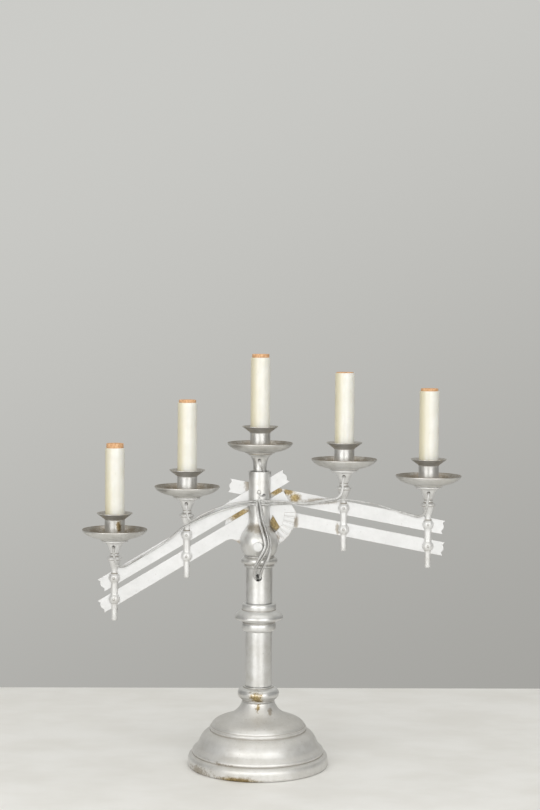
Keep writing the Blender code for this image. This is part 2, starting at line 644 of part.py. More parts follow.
def add_lead(name, points, radius, spacing, material, parent=None):
    """A lead as a plain tube through its route's points."""
    curve = bpy.data.curves.new(name, "CURVE")
    curve.dimensions = "3D"
    curve.bevel_depth = radius * MM
    curve.bevel_resolution = 2
    curve.use_fill_caps = True
    curve.materials.append(material)
    route = smooth_route([Vector(p) for p in points], spacing)
    spline = curve.splines.new("POLY")
    spline.points.add(len(route) - 1)
    for point, place in zip(spline.points, route):
        point.co = (*(place * MM), 1.0)
    lead = bpy.data.objects.new(name, curve)
    lead.parent = parent
    bpy.context.collection.objects.link(lead)
    return lead


OUTER_LEAD_POINTS = {
    LEFT: [(-182.7, -8.6, 273.8), (-182.6, -12.9, 273.8), (-182.1, -14.4, 270.4), (-181.4, -14.4, 264.5),
           (-180.2, -14.4, 257.5), (-177.4, -12.6, 250.8), (-171.5, -8.6, 248.8), (-163.0, -5.9, 252.6),
           (-150.0, -5.4, 260.4), (-134.0, -5.4, 270.4), (-118.0, -6.0, 281.0), (-106.0, -8.2, 291.0),
           (-98.0, -10.8, 300.6), (-90.0, -11.4, 304.4), (-80.0, -8.0, 305.6), (-66.0, -5.6, 308.6),
           (-48.0, -5.4, 316.0), (-30.0, -6.0, 324.6), (-19.0, -10.0, 330.2), (-11.0, -15.4, 333.2),
           (-3.4, -17.8, 334.2)],
    RIGHT: [(210.5, -4.8, 346.7), (210.4, -9.1, 346.7), (210.0, -10.6, 343.2), (209.3, -10.6, 337.0),
            (208.2, -10.8, 330.2), (205.4, -8.8, 321.4), (198.0, -4.0, 317.2), (186.0, -1.6, 319.6),
            (168.0, -1.4, 324.4), (150.0, -1.4, 330.2), (132.0, -1.6, 333.6), (118.0, -4.2, 336.4),
            (105.0, -7.6, 337.4), (92.0, -4.6, 335.2), (76.0, -1.8, 332.6), (58.0, -3.0, 330.6),
            (44.0, -6.4, 331.8), (30.0, -7.0, 333.4), (20.0, -10.0, 334.2), (11.0, -15.4, 334.4),
            (3.4, -17.8, 334.6)],
}
INNER_LEAD_POINTS = {
    LEFT: [(-91.3, -8.6, 329.6), (-91.2, -12.9, 329.6), (-90.7, -14.4, 326.2), (-89.8, -14.4, 320.0),
           (-88.6, -14.6, 313.2), (-84.0, -13.8, 306.0), (-76.0, -9.8, 301.2), (-62.0, -6.2, 302.6),
           (-46.0, -5.4, 309.8), (-31.0, -6.0, 318.0), (-20.0, -10.4, 325.0), (-11.0, -15.4, 329.2),
           (-3.4, -17.8, 330.4)],
    RIGHT: [(105.2, -4.8, 366.0), (105.1, -9.1, 366.0), (104.7, -10.6, 362.6), (104.0, -10.6, 356.6),
            (102.8, -11.4, 349.8), (99.0, -11.2, 340.8), (92.0, -7.8, 331.2), (78.0, -3.0, 327.6),
            (60.0, -3.4, 325.8), (44.0, -6.6, 326.8), (30.0, -7.2, 328.4), (20.0, -10.0, 329.4),
            (11.0, -15.4, 330.0), (3.4, -17.8, 330.6)],
}
CENTRE_LEAD_POINTS = [(0, -7.0, 385.2), (0, -11.2, 385.2), (0.8, -12.7, 382.4), (2.2, -12.2, 378.4),
                      (4.4, -10.0, 374.2), (5.8, -8.7, 369.4), (6.2, -8.5, 363.0), (6.2, -8.5, 352.0),
                      (6.2, -8.7, 344.8), (6.1, -11.2, 341.5), (5.5, -15.2, 341.0), (2.8, -18.0, 341.6),
                      (0.7, -18.5, 340.9), (0.4, -18.4, 338.1)]
BUNDLE_POINTS = [(0, -18.4, 337.0), (0.6, -18.6, 328.0), (2.0, -19.0, 318.0), (4.2, -20.4, 308.0),
                 (7.4, -24.4, 297.0), (9.8, -27.6, 287.0), (10.4, -28.2, 279.0), (9.0, -28.6, 269.0),
                 (6.0, -28.2, 260.0), (2.4, -26.6, 251.0), (0.2, -23.8, 242.2), (0, -19.2, 239.2),
                 (0, -12.4, 238.9)]


def make_leads(flex):
    """The five lamp leads, gathered at the hub's front and led into the upper stem."""
    for word, side in (("left", LEFT), ("right", RIGHT)):
        add_lead(f"{word}_outer_lead", OUTER_LEAD_POINTS[side], LEAD_RADIUS, LEAD_SPACING, flex)
        add_lead(f"{word}_inner_lead", INNER_LEAD_POINTS[side], LEAD_RADIUS, LEAD_SPACING, flex)
    add_lead("centre_lead", CENTRE_LEAD_POINTS, LEAD_RADIUS, 0.75 * LEAD_SPACING, flex)
    add_lead("front_leads", BUNDLE_POINTS, BUNDLE_RADIUS, 1.4 * LEAD_SPACING, flex)


def main():
    clear_scene()
    silver = make_material("silver_paint", (0.72, 0.72, 0.69), 0.38, 0.6)
    steel = make_material("steel", (0.5, 0.5, 0.5), 0.35, 1.0)
    felt = make_material("green_felt", (0.05, 0.09, 0.06), 0.95, 0.0)
    rubber = make_material("black_rubber", (0.02, 0.02, 0.02), 0.7, 0.0)
    ivory = make_material("ivory_sleeve", (0.88, 0.84, 0.7), 0.3, 0.0)
    fibre = make_material("fibre_socket", (0.55, 0.26, 0.12), 0.6, 0.0)
    flex = make_material("silver_flex", (0.68, 0.68, 0.66), 0.45, 0.2)

    make_base(silver, felt, rubber)
    make_column(silver, steel)
    make_hub(silver, steel)
    make_plunger("front", FRONT, silver, steel)
    make_plunger("rear", REAR, silver, steel)
    make_centre_light(silver, ivory, fibre)
    stem_mesh = pendant_stem_mesh(silver)
    for word, side in (("left", LEFT), ("right", RIGHT)):
        make_arm_bars(word, side, silver)
        for place, reach in (("inner", INNER_REACH), ("outer", OUTER_REACH)):
            make_pendant(f"{word}_{place}", side, reach, stem_mesh, (silver, steel, ivory, fibre))
    make_leads(flex)


main()
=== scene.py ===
"""Finished look of a five-light altar candelabra with two adjustable parallelogram arms.

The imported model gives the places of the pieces. The sizes below are in millimetres, and MM turns
them into metres. The front faces -Y, and the arms reach along -X (left) and +X (right).
"""

from __future__ import annotations

import json
import logging
import math
from dataclasses import dataclass, field, replace
from enum import Enum
from typing import Any, Sequence

import bmesh
import bpy
import numpy as np
from mathutils import Euler, Matrix, Vector


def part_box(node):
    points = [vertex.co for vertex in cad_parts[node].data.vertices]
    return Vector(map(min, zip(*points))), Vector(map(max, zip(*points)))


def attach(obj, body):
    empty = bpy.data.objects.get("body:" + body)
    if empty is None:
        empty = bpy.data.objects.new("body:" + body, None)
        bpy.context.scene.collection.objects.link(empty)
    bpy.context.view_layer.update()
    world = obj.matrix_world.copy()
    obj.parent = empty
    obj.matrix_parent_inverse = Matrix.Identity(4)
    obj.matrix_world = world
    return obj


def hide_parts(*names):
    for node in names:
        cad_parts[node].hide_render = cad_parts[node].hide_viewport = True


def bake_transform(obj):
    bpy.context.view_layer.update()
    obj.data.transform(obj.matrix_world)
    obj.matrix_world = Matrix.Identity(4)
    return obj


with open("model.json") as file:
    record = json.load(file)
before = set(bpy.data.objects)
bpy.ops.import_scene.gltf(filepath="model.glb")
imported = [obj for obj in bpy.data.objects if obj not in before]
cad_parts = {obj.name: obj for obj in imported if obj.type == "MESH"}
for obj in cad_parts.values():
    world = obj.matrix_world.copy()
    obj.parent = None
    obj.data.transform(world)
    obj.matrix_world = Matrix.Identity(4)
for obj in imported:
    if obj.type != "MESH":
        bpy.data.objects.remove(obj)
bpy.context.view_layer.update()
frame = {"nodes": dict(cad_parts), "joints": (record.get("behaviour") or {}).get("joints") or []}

MM = 0.001
LOG = logging.getLogger("candelabra")

Pair = tuple[float, float]
Place = tuple[float, float, float]
Colour = tuple[float, float, float]


class Side(Enum):
    """The side of the column that an arm reaches to, as the sign of its X."""

    LEFT = -1
    RIGHT = 1


class Rank(Enum):
    """The two fittings that hang on each arm."""

    INNER = "inner"
    OUTER = "outer"


class MarkKind(Enum):
    """What a mark shows: metal where the paint has gone, or dirt on the paint."""

    BARE = "bare"
    STAIN = "stain"


# ---------------------------------------------------------------- nodes

class Value:
    """A socket that adds Math nodes when it is used in an expression."""

    def __init__(self, graph: Graph, socket: bpy.types.NodeSocket) -> None:
        """Wraps a socket of the graph."""
        self.graph = graph
        self.socket = socket

    def _math(self, operation: str, first: Any, second: Any = 0.0) -> Value:
        """Adds one Math node.

        Args:
            operation: The node's operation.
            first: The first value.
            second: The second value.

        Returns:
            The node's result.
        """
        return self.graph.value("ShaderNodeMath", {"operation": operation}, {0: first, 1: second})

    def __add__(self, other: Any) -> Value:
        """Adds."""
        return self._math("ADD", self, other)

    def __radd__(self, other: Any) -> Value:
        """Adds to a number."""
        return self._math("ADD", other, self)

    def __sub__(self, other: Any) -> Value:
        """Subtracts."""
        return self._math("SUBTRACT", self, other)

    def __rsub__(self, other: Any) -> Value:
        """Subtracts from a number."""
        return self._math("SUBTRACT", other, self)

    def __mul__(self, other: Any) -> Value:
        """Multiplies."""
        return self._math("MULTIPLY", self, other)

    def __rmul__(self, other: Any) -> Value:
        """Multiplies a number."""
        return self._math("MULTIPLY", other, self)

    def __truediv__(self, other: Any) -> Value:
        """Divides."""
        return self._math("DIVIDE", self, other)

    def __mod__(self, other: Any) -> Value:
        """Takes the rest of a division."""
        return self._math("MODULO", self, other)

    def __lt__(self, other: Any) -> Value:
        """Gives 1 where this is less than the other, and 0 elsewhere."""
        return self._math("LESS_THAN", self, other)

    def floor(self) -> Value:
        """Rounds down."""
        return self._math("FLOOR", self)

    def cos(self) -> Value:
        """Takes the cosine."""
        return self._math("COSINE", self)

    def sin(self) -> Value:
        """Takes the sine."""
        return self._math("SINE", self)

    def most(self, other: Any) -> Value:
        """Takes the larger of the two."""
        return self._math("MAXIMUM", self, other)

    def rise(self, low: float, high: float) -> Value:
        """Goes smoothly from 0 at low to 1 at high.

        Args:
            low: Where the rise starts.
            high: Where it ends.

        Returns:
            A value from 0 to 1.
        """
        return self.graph.value("ShaderNodeMapRange", {"interpolation_type": "SMOOTHSTEP"},
                                {"Value": self, "From Min": low, "From Max": high})


class Graph:
    """A node tree that is written in a few calls."""

    def __init__(self, tree: bpy.types.NodeTree) -> None:
        """Starts on an empty tree."""
        self.tree = tree

    def node(self, kind: str, settings: dict[str, Any] | None = None,
             inputs: dict[str | int, Any] | None = None) -> bpy.types.Node:
        """Adds a node.

        Args:
            kind: The node's type.
            settings: Its settings, which are set first; "stops" are a ramp's (place, colour) pairs.
            inputs: Values or links for its sockets, by name or number.

        Returns:
            The node.
        """
        made = self.tree.nodes.new(kind)
        for name, value in (settings or {}).items():
            if name == "stops":
                self._set_stops(made.color_ramp, value)
            else:
                setattr(made, name, value)
        for key, value in (inputs or {}).items():
            socket = made.inputs[key]
            if isinstance(value, Value):
                self.tree.links.new(value.socket, socket)
            elif socket.type == "RGBA":
                socket.default_value = (*value, 1.0)
            else:
                socket.default_value = value
        return made

    @staticmethod
    def _set_stops(ramp: bpy.types.ColorRamp, stops: Sequence[tuple[float, Colour]]) -> None:
        """Sets a ramp's stops.

        Args:
            ramp: The ramp, which starts with two stops.
            stops: The place and colour of each stop, from low to high.
        """
        while len(ramp.elements) < len(stops):
            ramp.elements.new(1.0)
        for element, (place, colour) in zip(ramp.elements, stops):
            element.position = place
            element.color = (*colour, 1.0)

    def value(self, kind: str, settings: dict[str, Any] | None = None,
              inputs: dict[str | int, Any] | None = None, output: str | int = 0) -> Value:
        """Adds a node and wraps one of its outputs.

        Args:
            kind: The node's type.
            settings: Its settings.
            inputs: Values or links for its sockets.
            output: The output's name or number.

        Returns:
            The output.
        """
        return Value(self, self.node(kind, settings, inputs).outputs[output])

    def place(self, stretch: Place = (1.0, 1.0, 1.0)) -> Value:
        """Gives the place on the object, with each axis scaled for a stretched pattern.

        Args:
            stretch: The scale along each axis.

        Returns:
            The coordinates.
        """
        here = self.value("ShaderNodeTexCoord", output="Object")
        if stretch == (1.0, 1.0, 1.0):
            return here
        return self.value("ShaderNodeMapping", {"vector_type": "POINT"}, {"Vector": here, "Scale": stretch})

    def noise(self, scale: float, detail: float = 2.0, stretch: Place = (1.0, 1.0, 1.0),
              roughness: float = 0.5) -> Value:
        """Gives a cloudy value round 0.5.

        Args:
            scale: How many clouds fit in a metre.
            detail: How many finer layers there are.
            stretch: The scale along each axis.
            roughness: How strong the finer layers are.

        Returns:
            The value.
        """
        return self.value("ShaderNodeTexNoise", inputs={
            "Vector": self.place(stretch), "Scale": scale, "Detail": detail, "Roughness": roughness})

    def mix(self, below: Any, above: Any, share: Any) -> Value:
        """Mixes two colours.

        Args:
            below: The colour at share 0.
            above: The colour at share 1.
            share: How much of the second colour shows.

        Returns:
            The colour.
        """
        return self.value("ShaderNodeMix", {"data_type": "RGBA"}, {0: share, 6: below, 7: above}, output=2)

    def attribute(self, name: str) -> Value:
        """Reads a number that is stored on the mesh."""
        return self.value("ShaderNodeAttribute", {"attribute_name": name}, output="Fac")

    def bump(self, height: Value, depth: float, strength: float = 1.0) -> Value:
        """Gives the normal of a slightly uneven surface.

        Args:
            height: The unevenness, from 0 to 1.
            depth: What a height of 1 is, in metres.
            strength: How much of it shows.

        Returns:
            The normal.
        """
        return self.value("ShaderNodeBump",
                inputs={"Height": height, "Distance": depth, "Strength": strength})


def graph_of(owner: bpy.types.ID) -> Graph:
    """Clears the nodes of a material or a world.

    Args:
        owner: The material or the world.

    Returns:
        Its empty graph.
    """
    owner.use_nodes = True
    owner.node_tree.nodes.clear()
    return Graph(owner.node_tree)


# ---------------------------------------------------------------- finishes

@dataclass(frozen=True)
class Mark:
    """A worn or stained area, as an ellipsoid in the object's own place, in millimetres."""

    kind: MarkKind
    centre: Place
    radii: Place
    ragged: float = 0.5

    def mask(self, graph: Graph, cloud: Value) -> Value:
        """Gives 1 in the middle of the mark and 0 outside it.

        Args:
            graph: The material's nodes.
            cloud: The value that makes its edge ragged.

        Returns:
            The mask.
        """
        near = graph.value("ShaderNodeVectorMath", {"operation": "SUBTRACT"},
                           {0: graph.place(), 1: tuple(c * MM for c in self.centre)})
        scaled = graph.value("ShaderNodeVectorMath", {"operation": "DIVIDE"},
                             {0: near, 1: tuple(r * MM for r in self.radii)})
        away = graph.value("ShaderNodeVectorMath", {"operation": "LENGTH"}, {0: scaled}, output="Value")
        return 1 - (away + (cloud - 0.5) * self.ragged * 4).rise(0.4, 1.15)


@dataclass(frozen=True)
class Finish:
    """A surface finish; each kind of finish says how its shader is fed."""

    name: str
    slot: str

    def shade(self, graph: Graph) -> dict[str, Any]:
        """Gives what feeds the shader's sockets."""
        raise NotImplementedError

    def material(self) -> bpy.types.Material:
        """Makes the material, or gives the one that was made before.

        Returns:
            The material.
        """
        made = bpy.data.materials.get(self.name)
        if made is None:
            made = bpy.data.materials.new(self.name)
            graph = graph_of(made)
            surface = graph.value("ShaderNodeBsdfPrincipled", inputs=self.shade(graph))
            graph.node("ShaderNodeOutputMaterial", inputs={"Surface": surface})
        return made


@dataclass(frozen=True)
class SilverPaint(Finish):
    """Aluminium paint over brass, rubbed through on edges, and darkened in hollows by dirt and painted shade.
    """

    light: Colour = (0.75, 0.75, 0.745)
    dark: Colour = (0.56, 0.55, 0.52)
    roughness: float = 0.36
    metallic: float = 0.82
    rub: float = 0.75
    # dirt: how far hollows darken towards the dark colour, which stands for both dirt there and painted shade
    dirt: float = 0.55
    soot: float = 0.0
    marks: tuple[Mark, ...] = ()

    BRASS = (0.57, 0.44, 0.20)
    OLD_BRASS = (0.22, 0.165, 0.09)
    DIRT_AND_SHADE = (0.20, 0.165, 0.12)

    def shade(self, graph: Graph) -> dict[str, Any]:
        """Gives what feeds the shader's sockets.

        Args:
            graph: The material's nodes.

        Returns:
            The sockets' values and links.
        """
        cloud = graph.noise(28.0, 3.0)
        patchy = graph.noise(130.0, 4.0, roughness=0.6)
        flake = graph.noise(1500.0, 2.0)
        scuff = graph.noise(420.0, 4.0, roughness=0.7)
        crest = graph.attribute("crest")
        paint = graph.mix(self.dark, self.light, (cloud * 0.7 + patchy * 0.5 + flake * 0.12).rise(0.35, 0.95))

        # Hollows darken towards the dark colour: dirt that gathers there, plus painted shade in the creases
        # and steps.
        hollow = ((0.0 - crest) + (patchy - 0.5) * 0.12).rise(0.03, 0.42)
        colour = graph.mix(paint, self.DIRT_AND_SHADE, hollow * self.dirt)
        if self.soot:
            dusty = graph.attribute("up") * (patchy + scuff).rise(0.35, 1.15) * self.soot
            colour = graph.mix(colour, self.DIRT_AND_SHADE, dusty)
        specks = graph.noise(420.0, 2.0).rise(0.70, 0.76) * 0.35
        colour = graph.mix(colour, self.DIRT_AND_SHADE, specks)

        bare = (crest + (patchy - 0.5) * 1.3).rise(self.rub, self.rub + 0.5)
        stain = None
        for mark in self.marks:
            mask = mark.mask(graph, patchy * 0.5 + scuff * 0.5)
            if mark.kind is MarkKind.BARE:
                bare = bare.most(mask)
            else:
                stain = mask if stain is None else stain.most(mask)
        if stain is not None:
            colour = graph.mix(colour, self.OLD_BRASS, stain * (scuff * 0.6 + 0.32))
        brass = graph.mix(self.OLD_BRASS, self.BRASS, (patchy * 0.5 + scuff * 0.7).rise(0.46, 0.86))
        colour = graph.mix(colour, brass, bare)
        return {
            "Base Color": colour,
            "Metallic": self.metallic + bare * (0.97 - self.metallic) - hollow * 0.3,
            "Roughness": self.roughness + (patchy - 0.5) * 0.16 + hollow * 0.2 + specks * 0.3,
            "Normal": graph.bump(cloud * 0.55 + patchy * 0.3 + flake * 0.05, 0.0007, 0.45),
        }


@dataclass(frozen=True)
class IvorySleeve(Finish):
    """Moulded ivory plastic with streaky yellowing, and more yellow on its left front side as a painted warm
    reflection.
    """

    def shade(self, graph: Graph) -> dict[str, Any]:
        """Gives what feeds the shader's sockets.

        Args:
            graph: The material's nodes.

        Returns:
            The sockets' values and links.
        """
        streak = graph.noise(95.0, 3.0, stretch=(1.0, 1.0, 0.09))
        cloud = graph.noise(60.0, 3.0)
        # The stored side value makes the left front side yellower, as a painted warm reflection. The streaks
        # add real yellowing of the plastic.
        aged = (graph.attribute("aged") + (streak - 0.5) * 0.9).rise(0.25, 1.05)
        clean = graph.mix((0.74, 0.725, 0.65), (0.78, 0.77, 0.715), cloud.rise(0.3, 0.7))
        colour = graph.mix(clean, (0.68, 0.62, 0.43), aged * 0.8)
        dirt = graph.noise(230.0, 4.0, stretch=(1.0, 1.0, 0.4)).rise(0.62, 0.8) * 0.22
        colour = graph.mix(colour, (0.42, 0.36, 0.25), dirt)
        return {
            "Base Color": colour,
            "Roughness": 0.30 + cloud * 0.12 + dirt * 0.4,
            "Normal": graph.bump(streak * 0.7 + cloud * 0.3, 0.0004, 0.3),
            "Subsurface Weight": 0.06,
            "Subsurface Radius": (0.004, 0.003, 0.0015),
            "Coat Weight": 0.25,
            "Coat Roughness": 0.2,
        }


@dataclass(frozen=True)
class Fibre(Finish):
    """Pressed tan fibre of a lamp socket and its liner."""

    def shade(self, graph: Graph) -> dict[str, Any]:
        """Gives what feeds the shader's sockets.

        Args:
            graph: The material's nodes.

        Returns:
            The sockets' values and links.
        """
        fibres = graph.noise(900.0, 4.0, stretch=(1.0, 1.0, 0.25), roughness=0.65)
        cloud = graph.noise(160.0, 3.0)
        tan = graph.mix((0.50, 0.25, 0.11), (0.80, 0.50, 0.28), fibres.rise(0.3, 0.7))
        return {
            "Base Color": graph.mix(tan, (0.28, 0.13, 0.06), cloud.rise(0.55, 0.8) * 0.5),
            "Roughness": 0.62 + fibres * 0.2,
            "Normal": graph.bump(fibres, 0.0003, 0.5),
        }


@dataclass(frozen=True)
class BareMetal(Finish):
    """Plain turned or drawn metal with a light tarnish."""

    bright: Colour = (0.62, 0.61, 0.59)
    dull: Colour = (0.30, 0.285, 0.26)
    roughness: float = 0.28

    def shade(self, graph: Graph) -> dict[str, Any]:
        """Gives what feeds the shader's sockets.

        Args:
            graph: The material's nodes.

        Returns:
            The sockets' values and links.
        """
        tarnish = graph.noise(240.0, 4.0, roughness=0.6)
        lines = graph.noise(1400.0, 2.0, stretch=(1.0, 0.15, 1.0))
        hollow = (0.0 - graph.attribute("crest")).rise(0.05, 0.6)
        return {
            "Base Color": graph.mix(self.bright, self.dull, (tarnish.rise(0.42, 0.7) * 0.7 + hollow * 0.5)),
            "Metallic": 1.0,
            "Roughness": self.roughness + tarnish * 0.22 + hollow * 0.15,
            "Normal": graph.bump(lines * 0.6 + tarnish * 0.4, 0.0002, 0.35),
        }


@dataclass(frozen=True)
class Felt(Finish):
    """Pressed wool felt."""

    def shade(self, graph: Graph) -> dict[str, Any]:
        """Gives what feeds the shader's sockets.

        Args:
            graph: The material's nodes.

        Returns:
            The sockets' values and links.
        """
        fuzz = graph.noise(1100.0, 5.0, roughness=0.75)
        cloud = graph.noise(70.0, 3.0)
        colour = graph.mix((0.018, 0.045, 0.026), (0.06, 0.11, 0.07), fuzz.rise(0.3, 0.7))
        return {
            "Base Color": graph.mix(colour, (0.12, 0.12, 0.10), cloud.rise(0.6, 0.8) * 0.4),
            "Roughness": 0.92 + fuzz * 0.08,
            "Normal": graph.bump(fuzz, 0.0006, 0.8),
            "Sheen Weight": 0.25,
        }


@dataclass(frozen=True)
class Rubber(Finish):
    """Black moulded rubber with a dusty bloom."""

    def shade(self, graph: Graph) -> dict[str, Any]:
        """Gives what feeds the shader's sockets.

        Args:
            graph: The material's nodes.

        Returns:
            The sockets' values and links.
        """
        bloom = graph.noise(300.0, 4.0)
        return {
            "Base Color": graph.mix((0.016, 0.016, 0.017), (0.055, 0.053, 0.05), bloom.rise(0.4, 0.75)),
            "Roughness": 0.6 + bloom * 0.25,
            "Normal": graph.bump(bloom, 0.0003, 0.4),
        }


@dataclass(frozen=True)
class SilverFlex(Finish):
    """Two-core lamp flex, brushed over with the same paint and worn along its ribs, with painted shade and a
    little grime in the groove between its cores.
    """

    def shade(self, graph: Graph) -> dict[str, Any]:
        """Gives what feeds the shader's sockets.

        Args:
            graph: The material's nodes.

        Returns:
            The sockets' values and links.
        """
        patchy = graph.noise(260.0, 4.0, roughness=0.6)
        cloud = graph.noise(45.0, 3.0)
        crest = graph.attribute("crest")
        # The groove between the cores is mixed to near black: painted shade, with a little grime.
        groove_shade_and_grime = (0.0 - crest).rise(0.0, 0.9)
        colour = graph.mix((0.36, 0.35, 0.33), (0.66, 0.66, 0.65),
                (cloud * 0.6 + patchy * 0.6).rise(0.35, 0.8))
        colour = graph.mix(colour, (0.05, 0.045, 0.04), groove_shade_and_grime * 0.92)
        colour = graph.mix(colour, (0.16, 0.14, 0.11), patchy.rise(0.62, 0.8) * 0.6)
        return {
            "Base Color": colour,
            "Metallic": 0.55 - groove_shade_and_grime * 0.3,
            "Roughness": 0.36 + patchy * 0.2,
            "Normal": graph.bump(patchy, 0.0005, 0.5),
        }


PAINT = SilverPaint("worn_silver", "silver_paint")
FOOT_PAINT = SilverPaint(
    "worn_silver_foot", "silver_paint", light=(0.79, 0.785, 0.77), dark=(0.60, 0.585, 0.55),
    roughness=0.46, metallic=0.64, soot=0.22, marks=(
    Mark(MarkKind.BARE, (-22.0, -86.0, 1.5), (34.0, 16.0, 4.6)),
    Mark(MarkKind.BARE, (1.5, -24.0, 77.5), (3.5, 10.0, 6.5), 1.2),
    Mark(MarkKind.STAIN, (-70.0, -52.0, 3.0), (26.0, 26.0, 7.0), 1.2),
    Mark(MarkKind.STAIN, (16.0, -22.0, 71.0), (3.0, 10.0, 4.0), 1.2),
    Mark(MarkKind.STAIN, (-36.0, -64.0, 18.0), (14.0, 16.0, 2.4), 1.4)))
COLLAR_PAINT = SilverPaint("worn_silver_collar", "silver_paint", marks=(
    Mark(MarkKind.BARE, (-0.5, -25.0, 89.0), (10.5, 12.0, 8.5), 0.8),))
HUB_PAINT = SilverPaint("worn_silver_hub", "silver_paint", roughness=0.42, marks=(
    Mark(MarkKind.STAIN, (-2.0, -14.0, 301.0), (19.0, 15.0, 8.5), 0.6),
    Mark(MarkKind.STAIN, (15.0, -6.0, 300.0), (9.0, 12.0, 7.0), 0.8),
    Mark(MarkKind.STAIN, (14.0, 0.0, 343.0), (2.4, 9.0, 9.0), 0.8)))
BAR_PAINT = SilverPaint("worn_silver_bar", "silver_paint", light=(0.73, 0.73, 0.73), dark=(0.63, 0.63, 0.625),
                        roughness=0.50, metallic=0.30, rub=0.95, dirt=0.45)
REAR_UPPER_PAINT = replace(BAR_PAINT, name="worn_silver_rear_upper", dirt=0.35, marks=(
    Mark(MarkKind.BARE, (20.0, 0.0, 346.0), (12.0, 20.0, 8.0), 0.5),
    Mark(MarkKind.BARE, (36.0, 0.0, 345.5), (8.5, 20.0, 6.0), 0.5),
    Mark(MarkKind.BARE, (44.0, 0.0, 338.0), (8.0, 20.0, 7.5), 0.5),
    Mark(MarkKind.STAIN, (77.0, 0.0, 334.2), (30.0, 20.0, 4.2), 0.6),
    Mark(MarkKind.STAIN, (-15.0, 0.0, 353.0), (5.0, 20.0, 9.0), 0.7)))
REAR_LOWER_PAINT = replace(BAR_PAINT, name="worn_silver_rear_lower", dirt=0.35, marks=(
    Mark(MarkKind.BARE, (-26.0, 0.0, 317.0), (18.0, 20.0, 12.0), 0.4),
    Mark(MarkKind.BARE, (20.0, 0.0, 306.0), (11.0, 20.0, 15.0), 0.4),
    Mark(MarkKind.STAIN, (46.0, 0.0, 307.0), (3.5, 20.0, 9.0), 0.5),
    Mark(MarkKind.STAIN, (98.0, 0.0, 299.0), (3.0, 20.0, 9.0), 0.8)))
FRONT_LOWER_PAINT = replace(BAR_PAINT, name="worn_silver_front_lower", dirt=0.75, marks=(
    Mark(MarkKind.STAIN, (-27.0, 0.0, 282.0), (8.0, 20.0, 3.4), 0.6),
    Mark(MarkKind.STAIN, (22.0, 0.0, 288.0), (4.0, 20.0, 6.0), 0.9),
    Mark(MarkKind.STAIN, (45.0, 0.0, 306.0), (2.0, 20.0, 9.0), 0.6)))
PAN_PAINT = SilverPaint(
    "worn_silver_pan", "silver_paint", light=(0.70, 0.695, 0.68), dark=(0.52, 0.505, 0.47),
    roughness=0.40, rub=0.66, soot=1.0)
CUP_PAINT = SilverPaint("worn_silver_cup", "silver_paint", light=(0.82, 0.82, 0.81), soot=0.6, marks=(
    Mark(MarkKind.BARE, (-176.4, -11.0, 301.0), (3.8, 5.0, 10.0), 0.7),))
KNOB_PAINT = SilverPaint(
    "worn_silver_knob", "silver_paint", light=(0.73, 0.73, 0.72), dark=(0.60, 0.60, 0.595),
    roughness=0.5, metallic=0.3, rub=0.95)
# The high dirt values of the stem and pin paints darken their turned steps and hollows: painted shade there,
# with some dirt.
STEM_PAINT = SilverPaint(
    "worn_silver_stem", "silver_paint", light=(0.76, 0.76, 0.755), dark=(0.60, 0.59, 0.57),
    roughness=0.42, metallic=0.42, dirt=0.85)
PIN_PAINT = SilverPaint("worn_silver_pin", "silver_paint", light=(0.60, 0.60, 0.59), roughness=0.4, dirt=0.9)
IVORY = IvorySleeve("aged_ivory", "ivory_sleeve")
FIBRE = Fibre("pressed_fibre", "fibre_socket")
SHELL_BRASS = BareMetal("socket_shell_brass", "steel", bright=(0.80, 0.60, 0.30), dull=(0.36, 0.24, 0.10))
STEEL = BareMetal("plain_steel", "steel")
FELT = Felt("green_felt", "felt")
RUBBER = Rubber("black_rubber", "rubber")
FLEX = SilverFlex("painted_flex", "silver_flex")


# ---------------------------------------------------------------- shaping

def smooth_route(points: Sequence[Vector], spacing: float) -> list[Vector]:
    """Gives evenly spaced points on a smooth curve.

    Args:
        points: The points that the curve goes through.
        spacing: How far apart the new points are.

    Returns:
        The new points, with the first and the last of the old ones at the ends.
    """
    ends = [2 * points[0] - points[1], *points, 2 * points[-1] - points[-2]]
    fine: list[Vector] = []
    for a, b, c, d in zip(ends, ends[1:], ends[2:], ends[3:]):
        for k in range(24):
            t = k / 24
            fine.append(0.5 * (2 * b + (c - a) * t + (2 * a - 5 * b + 4 * c - d) * t * t
                               + (3 * b - a - 3 * c + d) * t ** 3))
    fine.append(points[-1])
    along = np.concatenate([[0.0], np.cumsum([(q - p).length for p, q in zip(fine, fine[1:])])])
    count = max(3, round(along[-1] / spacing))
    at = np.linspace(0.0, along[-1], count + 1)
    axes = [np.interp(at, along, [p[k] for p in fine]) for k in range(3)]
    return [Vector(place) for place in zip(*axes)]


